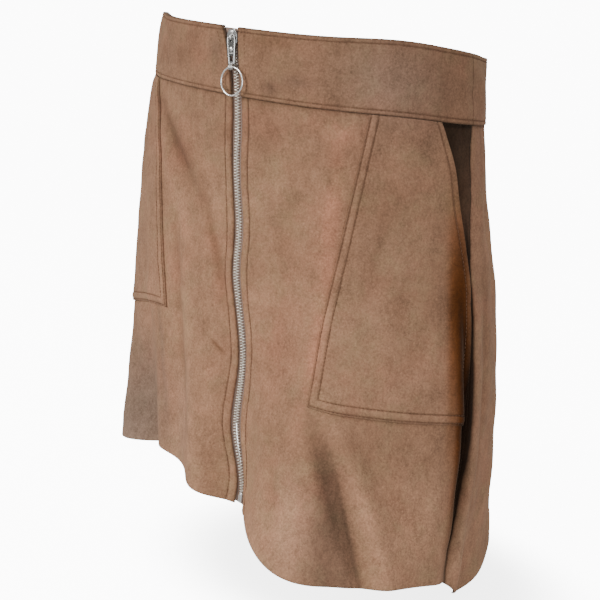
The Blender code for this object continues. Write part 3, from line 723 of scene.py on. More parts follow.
def swept_tube(path: np.ndarray, radius: np.ndarray | float, side: np.ndarray, sides: int = 8,
               closed: bool = False) -> tuple[np.ndarray, np.ndarray]:
    """A round tube carried along a path.

    Args:
        path: the points of its middle.
        radius: its radius, one or one for each point.
        side: a direction across the path at each point.
        sides: corners of its round section.
        closed: the path is a loop.

    Returns:
        Its vertices and faces, the ends closed by fans that meet on the path.
    """
    if closed:
        ahead = np.roll(path, -1, axis=0) - np.roll(path, 1, axis=0)
    else:
        ahead = np.gradient(path, axis=0)
    ahead = unit(ahead)
    side = np.broadcast_to(side, path.shape)
    side = unit(side - (side * ahead).sum(-1, keepdims=True) * ahead)
    other = np.cross(ahead, side)
    turn = np.arange(sides) * 2 * math.pi / sides
    radius = np.broadcast_to(radius, (len(path),))[:, None, None]
    spoke = np.cos(turn)[None, :, None] * side[:, None] + np.sin(turn)[None, :, None] * other[:, None]
    points = (path[:, None] + radius * spoke).reshape(-1, 3)
    faces = grid_quads(len(path), sides, closed, True)[:, ::-1]
    if closed:
        return points, faces
    ends = len(points)
    points = np.concatenate([points, path[:1], path[-1:]])
    ring = np.arange(sides)
    ahead_ring = np.roll(ring, -1)
    last = (len(path) - 1) * sides
    first_cap = np.stack([ahead_ring, np.full(sides, ends), ring], axis=-1)
    last_cap = np.stack([last + ring, np.full(sides, ends + 1), last + ahead_ring], axis=-1)
    return points, faces.tolist() + first_cap.tolist() + last_cap.tolist()


def pillow_block(half: tuple[float, float, float], roundness: float = 0.45, rings: int = 7,
                 spokes: int = 12) -> tuple[np.ndarray, np.ndarray]:
    """A rounded block: a superellipsoid, the powers of a sphere's sines and cosines, with closed poles.

    Args:
        half: half sizes along x, y and z.
        roundness: 1 is an ellipsoid and near 0 a sharp box.
        rings: rings between the poles.
        spokes: points round each ring.

    Returns:
        Its vertices and faces.
    """
    rise = np.linspace(-math.pi / 2, math.pi / 2, rings + 2)[1:-1, None]
    turn = (np.arange(spokes) * 2 * math.pi / spokes)[None, :]

    def power(value: np.ndarray) -> np.ndarray:
        """A value's size raised to the roundness, with its sign kept."""
        return np.sign(value) * np.abs(value) ** roundness

    x = half[0] * power(np.cos(rise)) * power(np.cos(turn))
    y = half[1] * power(np.cos(rise)) * power(np.sin(turn))
    z = half[2] * power(np.sin(rise)) * np.ones_like(turn)
    points = np.stack(np.broadcast_arrays(x, y, z), axis=-1).reshape(-1, 3)
    count = len(points)
    points = np.concatenate([points, [[0, 0, -half[2]], [0, 0, half[2]]]])
    ring = np.arange(spokes)
    ahead = np.roll(ring, -1)
    top = (rings - 1) * spokes
    faces = grid_quads(rings, spokes, False, True)[:, ::-1].tolist()
    faces += [[int(b), int(a), count] for a, b in zip(ring, ahead)]
    faces += [[int(top + a), int(top + b), count + 1] for a, b in zip(ring, ahead)]
    return points, faces


def copies(points: np.ndarray, faces: list, places: np.ndarray, x: np.ndarray, y: np.ndarray,
           z: np.ndarray) -> tuple[np.ndarray, list]:
    """One shape set down at many places.

    Args:
        points: the shape's vertices.
        faces: its faces.
        places: where each copy goes.
        x: the direction of the shape's x axis at each place.
        y: that of its y axis.
        z: that of its z axis.

    Returns:
        Vertices and faces of all the copies.
    """
    world = places[:, None] + points[None, :, :1] * x[:, None] + points[None, :, 1:2] * y[:, None]
    world = world + points[None, :, 2:3] * z[:, None]
    made = []
    for index in range(len(places)):
        shift = index * len(points)
        made.extend([corner + shift for corner in face] for face in faces)
    return world.reshape(-1, 3), made


def joined(parts: list[tuple[np.ndarray, list]]) -> tuple[np.ndarray, list]:
    """Several shapes as one.

    Args:
        parts: vertices and faces of each shape.

    Returns:
        Vertices and faces of them all.
    """
    points = np.concatenate([part[0] for part in parts])
    faces: list = []
    shift = 0
    for part_points, part_faces in parts:
        faces.extend([int(corner) + shift for corner in face] for face in part_faces)
        shift += len(part_points)
    return points, faces


# ---------------------------------------------------------------- finishes


# A noise pattern: cycles to the metre, detail and roughness, and the range of it that is carried to another.
Pattern = namedtuple("Pattern", "scale detail roughness low high to_low to_high",
                     defaults=(0.0, 1.0, 0.0, 1.0))
BLOTCH = Pattern(17.0, 4.0, 0.62, 0.34, 0.66)
MOTTLE = Pattern(62.0, 5.0, 0.68, 0.32, 0.68)
ROSY = Pattern(21.0, 3.0, 0.55, 0.48, 0.72, 0.0, 0.50)
FADED = Pattern(37.0, 4.0, 0.62, 0.48, 0.70, 0.0, 0.55)
SCUFF = Pattern(34.0, 6.0, 0.74, 0.34, 0.66, -0.20, 0.22)
FLECKS = Pattern(820.0, 1.0, 0.5, 0.60, 0.72, 0.0, 0.20)
SMUDGE = Pattern(420.0, 4.0, 0.65, 0.45, 0.8)
# The plain noises of the cloth, thread, tape and metal.
STREAK = Pattern(240.0, 3.0, 0.6)
GRAIN = Pattern(560.0, 3.0, 0.72)
PORES = Pattern(1500.0, 2.0, 0.6)
TWIST = Pattern(3200.0, 2.0, 0.6)
WEAVE = Pattern(1500.0, 1.0, 0.5)
WEAR = Pattern(120.0, 3.0, 0.6)
SCRATCH = Pattern(1800.0, 2.0, 0.6)


class NodeGraph:
    """A material's node tree, with short calls for the few nodes that the finishes use."""

    def __init__(self, name: str) -> None:
        """Starts a material with a Principled shader.

        Args:
            name: the material's name.
        """
        self.material = bpy.data.materials.new(name)
        self.material.use_nodes = True
        self.tree = self.material.node_tree
        self.shader = self.tree.nodes["Principled BSDF"]
        self.coordinates = self.tree.nodes.new("ShaderNodeTexCoord").outputs["Object"]

    def set(self, **values: float | tuple) -> None:
        """Sets constant values on the shader's sockets; an underscore stands for a space."""
        for name, value in values.items():
            self.shader.inputs[name.replace("_", " ")].default_value = value

    def feed(self, socket: bpy.types.NodeSocket, value: object) -> None:
        """Links a socket to another, or sets its constant value.

        Args:
            socket: the socket that takes the value.
            value: a socket, a number or a tuple.
        """
        if isinstance(value, bpy.types.NodeSocket):
            self.tree.links.new(value, socket)
        else:
            socket.default_value = value

    def scaled(self, *scale: float) -> bpy.types.NodeSocket:
        """Object coordinates stretched along each axis.

        Args:
            scale: factors along x, y and z.

        Returns:
            The stretched coordinates.
        """
        node = self.tree.nodes.new("ShaderNodeMapping")
        node.inputs["Scale"].default_value = scale
        self.tree.links.new(self.coordinates, node.inputs["Vector"])
        return node.outputs["Vector"]

    def noise(self, pattern: Pattern, vector: bpy.types.NodeSocket | None = None) -> bpy.types.NodeSocket:
        """A pattern's noise, from 0 to 1.

        Args:
            pattern: its scale, detail and roughness.
            vector: coordinates to use in place of the object's.

        Returns:
            The noise.
        """
        node = self.tree.nodes.new("ShaderNodeTexNoise")
        for socket in ("Scale", "Detail", "Roughness"):
            node.inputs[socket].default_value = getattr(pattern, socket.lower())
        self.tree.links.new(vector or self.coordinates, node.inputs["Vector"])
        return node.outputs["Fac"]

    def ranged(self, pattern: Pattern) -> bpy.types.NodeSocket:
        """A pattern's noise, carried to its range."""
        return self.span(self.noise(pattern), pattern.low, pattern.high, pattern.to_low, pattern.to_high)

    def attribute(self, name: str) -> bpy.types.NodeSocket:
        """A value kept on the mesh.

        Args:
            name: the attribute's name.

        Returns:
            The value, 0 on a mesh without it.
        """
        node = self.tree.nodes.new("ShaderNodeAttribute")
        node.attribute_name = name
        return node.outputs["Fac"]

    def math(self, operation: str, first: object, second: object = 0.0) -> bpy.types.NodeSocket:
        """One arithmetic step.

        Args:
            operation: the node's own name for it.
            first: a socket or a number.
            second: a socket or a number.

        Returns:
            The result.
        """
        node = self.tree.nodes.new("ShaderNodeMath")
        node.operation = operation
        self.feed(node.inputs[0], first)
        self.feed(node.inputs[1], second)
        return node.outputs[0]

    def span(self, value: object, low: float, high: float, to_low: float = 0.0,
             to_high: float = 1.0) -> bpy.types.NodeSocket:
        """A value carried from one range to another, and held inside it.

        Args:
            value: a socket.
            low: where its range starts.
            high: where its range ends.
            to_low: what the start becomes.
            to_high: what the end becomes.

        Returns:
            The new value.
        """
        node = self.tree.nodes.new("ShaderNodeMapRange")
        for index, item in enumerate((value, low, high, to_low, to_high)):
            self.feed(node.inputs[index], item)
        return node.outputs[0]

    def mix(self, factor: object, first: object, second: object,
            blend: str = "MIX") -> bpy.types.NodeSocket:
        """Two colours mixed.

        Args:
            factor: how much of the second, a socket or a number.
            first: a socket or a colour.
            second: a socket or a colour.
            blend: the node's own name for the way of mixing.

        Returns:
            The mixed colour.
        """
        node = self.tree.nodes.new("ShaderNodeMix")
        node.data_type = "RGBA"
        node.blend_type = blend
        for index, item in ((0, factor), (6, first), (7, second)):
            if isinstance(item, tuple) and len(item) == 3:
                item = (*item, 1.0)
            self.feed(node.inputs[index], item)
        return node.outputs[2]

    def grey(self, value: object) -> bpy.types.NodeSocket:
        """A grey colour.

        Args:
            value: how light it is.

        Returns:
            The colour.
        """
        node = self.tree.nodes.new("ShaderNodeCombineColor")
        for index in range(3):
            self.feed(node.inputs[index], value)
        return node.outputs[0]

    def bump(self, height: object, strength: float, distance: float,
             under: bpy.types.NodeSocket | None = None) -> bpy.types.NodeSocket:
        """A bumped normal, over another one where given.

        Args:
            height: the height, a socket.
            strength: how much of it shows.
            distance: metres for a height of 1.
            under: a normal that is bumped already.

        Returns:
            The normal.
        """
        node = self.tree.nodes.new("ShaderNodeBump")
        node.inputs["Strength"].default_value = strength
        node.inputs["Distance"].default_value = distance
        self.feed(node.inputs["Height"], height)
        if under is not None:
            self.tree.links.new(under, node.inputs["Normal"])
        return node.outputs["Normal"]


@dataclass(frozen=True)
class SuedeFinish:
    """Napped suede: blotched, brushed and grainy outside, plain knit backing inside."""

    name: str
    tan: tuple = (0.346, 0.189, 0.113)
    dusk: tuple = (0.190, 0.098, 0.056)
    pink: tuple = (0.360, 0.160, 0.098)
    # Orange and ash are tints of painted shade, led by the warm attribute.
    orange: tuple = (0.190, 0.056, 0.011)
    olive: tuple = (0.262, 0.168, 0.092)
    ash: tuple = (0.270, 0.196, 0.152)
    backing: tuple = (0.15, 0.105, 0.080)
    bump: float = 0.75
    blotch_share: float = 0.60
    mottle_share: float = 0.54
    most_tint: float = 0.75
    darkest: float = 0.05
    lightness: float = 1.03

    def colour(self, graph: NodeGraph, mottle: bpy.types.NodeSocket) -> bpy.types.NodeSocket:
        """The cloth's colour before its painted light and shade: tan with dusky, rosy and faded places, and
        the warm and ashy tints of the painted shade.

        Args:
            graph: the material's nodes.
            mottle: the small mottling.

        Returns:
            The colour.
        """
        blotch = graph.math("MULTIPLY", graph.ranged(BLOTCH), self.blotch_share)
        colour = graph.mix(blotch, self.tan, self.dusk)
        colour = graph.mix(graph.math("MULTIPLY", mottle, self.mottle_share), colour, self.dusk)
        rosy = graph.math("ADD", graph.ranged(ROSY), graph.attribute("blush"))
        colour = graph.mix(graph.span(rosy, 0.0, 1.0, 0.0, self.most_tint), colour, self.pink)
        colour = graph.mix(graph.ranged(FADED), colour, self.olive)
        # The painted shade's tints: orange where the warm value is above zero, ash where it is below.
        colour = graph.mix(graph.span(graph.attribute("warm"), 0.0, 1.0), colour, self.orange)
        ashy = graph.span(graph.attribute("warm"), 0.0, -1.0, 0.0, self.most_tint)
        return graph.mix(ashy, colour, self.ash)

    def build(self) -> bpy.types.Material:
        """Makes the material.

        Returns:
            The material.
        """
        graph = NodeGraph(self.name)
        mottle = graph.ranged(MOTTLE)
        streak = graph.noise(STREAK, graph.scaled(1.0, 1.0, 0.45))
        grain = graph.noise(GRAIN)
        speckle = graph.math("ADD", graph.span(grain, 0.30, 0.70, -0.24, 0.27),
                             graph.span(streak, 0.3, 0.7, -0.10, 0.10))
        speckle = graph.math("ADD", speckle, graph.ranged(SCUFF))
        speckle = graph.math("ADD", speckle, graph.ranged(FLECKS))
        # Painted shade and light from the tone attribute, held above the darkest share.
        shade = graph.math("MAXIMUM", graph.math("ADD", graph.attribute("tone"), 1.0), self.darkest)
        value = graph.math("MULTIPLY", shade, graph.math("ADD", speckle, self.lightness))
        colour = graph.mix(1.0, self.colour(graph, mottle), graph.grey(value), "MULTIPLY")
        colour = graph.mix(graph.attribute("inside"), colour, self.backing)
        graph.feed(graph.shader.inputs["Base Color"], colour)
        coarse = graph.bump(mottle, 0.35, 0.8 * MM)
        fibres = graph.math("ADD", grain, graph.math("MULTIPLY", streak, 0.6))
        nap = graph.bump(fibres, self.bump, 0.6 * MM, coarse)
        graph.feed(graph.shader.inputs["Normal"], graph.bump(graph.noise(PORES), 0.3, 0.2 * MM, nap))
        graph.set(Roughness=0.95, Specular_IOR_Level=0.08, Sheen_Weight=0.16, Sheen_Roughness=0.5,
                  Sheen_Tint=(0.80, 0.55, 0.40, 1.0))
        return graph.material


@dataclass(frozen=True)
class ThreadFinish:
    """Twisted polyester thread in the suede's colour."""

    name: str = "thread"
    colour: tuple = (0.185, 0.092, 0.053)

    def build(self) -> bpy.types.Material:
        """Makes the material.

        Returns:
            The material.
        """
        graph = NodeGraph(self.name)
        twist = graph.noise(TWIST)
        dark = tuple(part * 0.7 for part in self.colour)
        graph.feed(graph.shader.inputs["Base Color"], graph.mix(twist, dark, self.colour))
        graph.feed(graph.shader.inputs["Normal"], graph.bump(twist, 0.5, 0.1 * MM))
        graph.set(Roughness=0.8, Specular_IOR_Level=0.15)
        return graph.material


@dataclass(frozen=True)
class TapeFinish:
    """Zip tape: a fine woven rib."""

    name: str = "zip_tape"
    colour: tuple = (0.27, 0.178, 0.138)

    def build(self) -> bpy.types.Material:
        """Makes the material.

        Returns:
            The material.
        """
        graph = NodeGraph(self.name)
        weave = graph.noise(WEAVE, graph.scaled(1.0, 1.0, 2.2))
        dark = tuple(part * 0.62 for part in self.colour)
        colour = graph.mix(graph.span(weave, 0.35, 0.65), dark, self.colour)
        colour = graph.mix(graph.math("MULTIPLY", graph.noise(WEAR), 0.35), colour, dark)
        graph.feed(graph.shader.inputs["Base Color"], colour)
        graph.feed(graph.shader.inputs["Normal"], graph.bump(weave, 0.7, 0.25 * MM))
        graph.set(Roughness=0.8, Sheen_Weight=0.15)
        return graph.material


@dataclass(frozen=True)
class MetalFinish:
    """Plated zinc or brushed teeth metal, with smudges, fine scratches and painted shade in its recesses."""

    name: str
    colour: tuple
    roughness: float
    grime: tuple = (0.25, 0.22, 0.20)
    dirt: float = 0.25
    # The colour of the painted shade in recesses.
    dark: tuple = (0.05, 0.047, 0.045)
    smudge_roughness: float = 0.22

    def build(self) -> bpy.types.Material:
        """Makes the material.

        Returns:
            The material.
        """
        graph = NodeGraph(self.name)
        smudge = graph.ranged(SMUDGE)
        scratch = graph.noise(SCRATCH, graph.scaled(1.0, 0.4, 3.0))
        colour = graph.mix(graph.math("MULTIPLY", smudge, self.dirt), self.colour, self.grime)
        # Painted shade in the recesses, from the recess attribute.
        colour = graph.mix(graph.attribute("recess"), colour, self.dark)
        graph.feed(graph.shader.inputs["Base Color"], colour)
        rough = graph.span(smudge, 0.0, 1.0, self.roughness, self.roughness + self.smudge_roughness)
        graph.feed(graph.shader.inputs["Roughness"], rough)
        graph.feed(graph.shader.inputs["Normal"], graph.bump(scratch, 0.12, 0.05 * MM))
        graph.set(Metallic=1.0)
        return graph.material


class Finish(Enum):
    """Every finish, by the name that the pieces use."""

    SUEDE = SuedeFinish("suede")
    POCKET = SuedeFinish("suede_pocket", tan=(0.332, 0.183, 0.111))
    THREAD = ThreadFinish()
    TAPE = TapeFinish()
    TEETH = MetalFinish("zip_teeth", (0.86, 0.81, 0.72), 0.28, dirt=0.35)
    POLISHED = MetalFinish("zip_metal", (0.93, 0.91, 0.88), 0.19)

    @cache
    def material(self) -> bpy.types.Material:
        """The finish's material, made when it is first asked for."""
        return self.value.build()


def dress(piece: bpy.types.Object, finish: Finish, body: str = "skirt",
          nodes: tuple = ()) -> bpy.types.Object:
    """Args:
        piece: the object.
        finish: what it is made of.
        body: the body that it rides on.
        nodes: the frame nodes that it stands for.

    Returns:
        The piece.
    """
    piece.data.materials.append(finish.material())
    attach(piece, body)
    if nodes:
        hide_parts(*nodes)
    LOG.info("%s: %d faces on %s", piece.name, len(piece.data.polygons), body)
    return piece


# ---------------------------------------------------------------- stitching


@dataclass(frozen=True)
class Stitching:
    """A row of straight stitches: arched threads that dip into the cloth at both their ends."""

    pitch: float = 3.1 * MM
    thread: float = 2.45 * MM
    radius: float = 0.26 * MM
    arch: float = 0.30 * MM
    sink: float = 0.12 * MM
    swell: tuple = (0.55, 0.9, 1.0, 1.0, 0.9, 0.55)  # the thread's radius along one stitch

    def template(self) -> tuple[np.ndarray, list]:
        """One stitch along x, arched up along z.

        Returns:
            Its vertices and faces.
        """
        run = np.linspace(-0.5, 0.5, len(self.swell))
        height = self.arch * (1 - (2 * run) ** 2) - self.sink
        path = np.stack([run * self.thread, 0 * run, height], axis=-1)
        return swept_tube(path, self.radius * np.array(self.swell), np.array([0.0, 1.0, 0.0]), 6)

    def along(self, angle: np.ndarray, drop: np.ndarray, out: float | np.ndarray) -> tuple[np.ndarray, list]:
        """Stitches at an even pitch on a line that lies on the cloth.

        Args:
            angle: degrees of closely spaced places on the line.
            drop: their drops.
            out: how far the thread's seat stands off the creased cloth.

        Returns:
            Vertices and faces of the whole row.
        """
        line = FORM.place(angle, drop, out)
        normal = FORM.normals(np.asarray(angle, float), np.asarray(drop, float))
        steps = np.linalg.norm(np.diff(line, axis=0), axis=1)
        reached = np.concatenate([[0], np.cumsum(steps)])
        count = max(int(reached[-1] / self.pitch), 1)
        wanted = (np.arange(count) + 0.5) * reached[-1] / count

        def at(reach: np.ndarray, rows: np.ndarray) -> np.ndarray:
            """Rows kept along the line, read at distances along it."""
            return np.stack([np.interp(reach, reached, rows[:, axis]) for axis in range(3)], axis=-1)

        ahead = unit(at(wanted + self.pitch / 2, line) - at(wanted - self.pitch / 2, line))
        up = at(wanted, normal)
        up = unit(up - (up * ahead).sum(-1, keepdims=True) * ahead)
        return copies(*self.template(), at(wanted, line), ahead, np.cross(up, ahead), up)


STITCHING = Stitching()


@dataclass(frozen=True)
class BarTack:
    """A dense bar of stitches laid side by side, over a loose edge."""

    width: float = 6.5 * MM
    height: float = 1.7 * MM
    threads: int = 13
    radius: float = 0.24 * MM
    arch: float = 0.35 * MM
    lean: float = 0.25  # each thread leans the other way from the one before

    def at(self, angle: float, drop: float, out: float) -> tuple[np.ndarray, list]:
        """The bar at a place, running round the body.

        Args:
            angle: degrees of its middle.
            drop: its drop.
            out: how far it stands off the creased cloth.

        Returns:
            Vertices and faces of its threads.
        """
        places = np.linspace(-0.5, 0.5, self.threads) * self.width
        drops = np.full(self.threads, drop)
        turned = angle + FORM.degrees_for(places, np.full(self.threads, angle), drops)
        spot = FORM.place(turned, drops, out)
        up = FORM.normals(turned, drops)
        down = unit(FORM.place(turned, drops + MM, out) - spot)
        lean = np.where(np.arange(self.threads) % 2, self.lean, -self.lean)[:, None]
        down = unit(down + lean * np.cross(up, down))
        template = Stitching(thread=self.height, radius=self.radius, arch=self.arch).template()
        return copies(*template, spot, down, np.cross(up, down), up)


def sewn(name: str, rows: list[tuple[np.ndarray, list]]) -> bpy.types.Object:
    """Rows of stitches joined as one piece that rides on the skirt."""
    points, faces = joined(rows)
    return dress(make_object(name, points, faces), Finish.THREAD)


# ---------------------------------------------------------------- cloth pieces


class Side(Enum):
    """The two sides of the front, with their sign along x."""

    RIGHT = -1
    LEFT = 1

    def zip_half(self, drop: np.ndarray) -> np.ndarray:
        """Half the gap between the fronts, on this side of the zip's middle."""
        return smooth(ZIP_OPENING, 2 if self is Side.LEFT else 1, drop)

    def seam(self, drop: np.ndarray) -> np.ndarray:
        """The side seam's angle."""
        return smooth(SEAM_LEFT if self is Side.LEFT else SEAM_RIGHT, 1, drop)


@dataclass(frozen=True)
class FrontLayout:
    """The columns of a front: even distances from the zip, then a spread, then even ones at the side seam."""

    side: Side
    zip_zone: float = 32 * MM
    seam_zone: float = 8 * MM
    step: float = 2.0 * MM
    seam_gap: float = -0.12 * MM  # the sewn edges press together
    topstitch: float = 6.8 * MM  # from the folded edge beside the zip

    def columns(self, drop: np.ndarray, middle_count: int) -> tuple[np.ndarray, np.ndarray, np.ndarray]:
        """The grid's angles.

        Args:
            drop: the drop of each row.
            middle_count: columns in the spread.

        Returns:
            Angles, and each place's distances from the zip's edge and from the side seam.
        """
        sign = self.side.value
        rows = drop[:, None]
        middle = smooth(ZIP_LINE, 1, rows)
        edge = middle + sign * FORM.degrees_for(self.side.zip_half(rows), middle, rows)
        seam = self.side.seam(rows)
        seam = seam - sign * FORM.degrees_for(self.seam_gap / 2, seam, rows)
        near = lanes(0.0, self.zip_zone, self.step, (self.topstitch,), (0.0,))
        far = lanes(0.0, self.seam_zone, self.step, (), (0.0,))[::-1]
        near_angle = edge + sign * FORM.degrees_for(near, edge, rows)
        far_angle = seam - sign * FORM.degrees_for(far, seam, rows)
        angles = filled(near_angle, far_angle, middle_count)
        from_zip = known(near, angles.shape)
        from_seam = known(far, angles.shape, True)
        if sign < 0:
            return angles[:, ::-1], from_zip[:, ::-1], from_seam[:, ::-1]
        return angles, from_zip, from_seam

    def topstitch_line(self, drop: np.ndarray) -> np.ndarray:
        """The stitch line beside the zip.

        Args:
            drop: drops in metres.

        Returns:
            The line's angles at those drops.
        """
        sign = self.side.value
        middle = smooth(ZIP_LINE, 1, drop)
        edge = middle + sign * FORM.degrees_for(self.side.zip_half(drop), middle, drop)
        return edge + sign * FORM.degrees_for(self.topstitch, edge, drop)


def back_columns(drop: np.ndarray, seam_zone: float, count: int) -> tuple[np.ndarray, np.ndarray]:
    """The columns of the back, from the left side seam round to the right one.

    Args:
        drop: the drop of each row.
        seam_zone: how far even columns reach from each seam.
        count: columns in the spread between them.

    Returns:
        Angles, and each place's distance from the nearer side seam.
    """
    rows = drop[:, None]
    gap = FrontLayout.seam_gap / 2
    zone = lanes(0.0, seam_zone, FrontLayout.step, (), (0.0,))
    start = Side.LEFT.seam(rows)
    start = start + FORM.degrees_for(gap + zone, start, rows)
    end = Side.RIGHT.seam(rows) + 360
    end = end - FORM.degrees_for(gap + zone[::-1], end, rows)
    angles = filled(start, end, count)
    return angles, np.minimum(known(zone, angles.shape), known(zone[::-1], angles.shape, True))


@dataclass(frozen=True)
class Waistband:
    """The doubled band: two fronts and a back, edge-stitched along its top and above its lower seam."""

    height: float = 54.9 * MM
    proud: float = 1.4 * MM
    thickness: float = 2.8 * MM
    rim_line: float = 3.6 * MM
    seam_line: float = 51.4 * MM
    step: float = 1.7 * MM
    edge_roll: float = 1.3 * MM
    groove_depth: float = 0.42 * MM
    thread_lift: float = 0.22 * MM
    crown: float = 0.45 * MM
    pucker_radius: float = 0.15  # turns an angle into a length for the gathering
    seam_gather: Gather = Gather(0.30 * MM, 0.7, 5.5 * MM)
    rim_gather: Gather = Gather(0.22 * MM, 2.1, 4.5 * MM)
    line_dark: Dark = Dark(0.20)
    rim_dark: Dark = Dark(0.42, 1.0 * MM)
    bottom_dark: Dark = Dark(0.30, 1.0 * MM)
    side_dark: Dark = Dark(0.25, 1.0 * MM)
    zip_dark: Dark = Dark(0.30, 1.2 * MM)

    def rows(self) -> np.ndarray:
        """The drops of the grid's rows."""
        return lanes(0.0, self.height, self.step, (self.rim_line, self.seam_line), (0.0, self.height))

    def finish(self, name: str, angle: np.ndarray, from_zip: np.ndarray, from_seam: np.ndarray,
               flat_width: float) -> bpy.types.Object:
        """Makes one length of the band.

        Args:
            name: the frame node that it stands for.
            angle: the grid's angles.
            from_zip: distances from the zip's edge.
            from_seam: distances from the side seam.
            flat_width: its width when cut; not used.

        Returns:
            The piece.
        """
        drop = np.broadcast_to(self.rows()[:, None], angle.shape)
        along = np.radians(angle) * self.pucker_radius
        from_rim_line = drop - self.rim_line
        from_seam_line = drop - self.seam_line
        grooves = groove(from_rim_line) + groove(from_seam_line)
        out = self.proud + rolled(drop, self.edge_roll) + rolled(self.height - drop, self.edge_roll)
        out = out + rolled(from_zip, 1.1 * MM) + rolled(from_seam, 0.8 * MM)
        out = out - self.groove_depth * grooves
        out = out + gathered(self.seam_gather, along, from_seam_line)
        out = out + gathered(self.rim_gather, along, from_rim_line)
        out = out + self.crown * np.sin(math.pi * drop / self.height)
        shade = FORM.shade(angle, drop)
        # Painted shade along both stitch grooves, the top and bottom edges, the side seams and the zip's
        # edge.
        darken(shade, (self.line_dark, from_rim_line), (self.line_dark, from_seam_line),
               (self.rim_dark, drop), (self.bottom_dark, self.height - drop), (self.side_dark, from_seam),
               (self.zip_dark, from_zip))
        piece = cloth_shell(f"{name}_suede", angle, drop, out, self.thickness, shade)
        dress(piece, Finish.SUEDE, nodes=(name,))
        return piece

    def build(self) -> None:
        """Makes the band's three lengths and their stitching."""
        rows = self.rows()
        for side, flat_width in ((Side.RIGHT, 0.225), (Side.LEFT, 0.235)):
            layout = FrontLayout(side, zip_zone=20 * MM)
            angle, from_zip, from_seam = layout.columns(rows, 92)
            name = f"waistband_front_{side.name.lower()}"
            self.finish(name, angle, from_zip, from_seam, flat_width)
        angle, from_seam = back_columns(rows, 6 * MM, 200)
        self.finish("waistband_back", angle, np.full(angle.shape, FAR), from_seam, 0.425)
        self.stitch()

    def stitch(self) -> None:
        """Sews the rows along the top, above the lower seam and down each side of the zip."""
        rows = []
        for line in (self.rim_line, self.seam_line):
            middle = float(smooth(ZIP_LINE, 1, np.array(line)))
            left_edge, right_edge = (
                middle + side.value * float(FORM.degrees_for(side.zip_half(line) + 2 * MM, middle, line))
                for side in (Side.LEFT, Side.RIGHT))
            turn = np.linspace(left_edge, right_edge + 360, 900)
            seat = self.proud - self.groove_depth + self.thread_lift
            rows.append(STITCHING.along(turn, np.full(turn.shape, line), seat))
        down = np.linspace(self.rim_line + MM, self.seam_line - MM, 60)
        for side in Side:
            line = FrontLayout(side).topstitch_line(down)
            rows.append(STITCHING.along(line, down, self.proud + 0.25 * MM))
        sewn("waistband_stitching", rows)


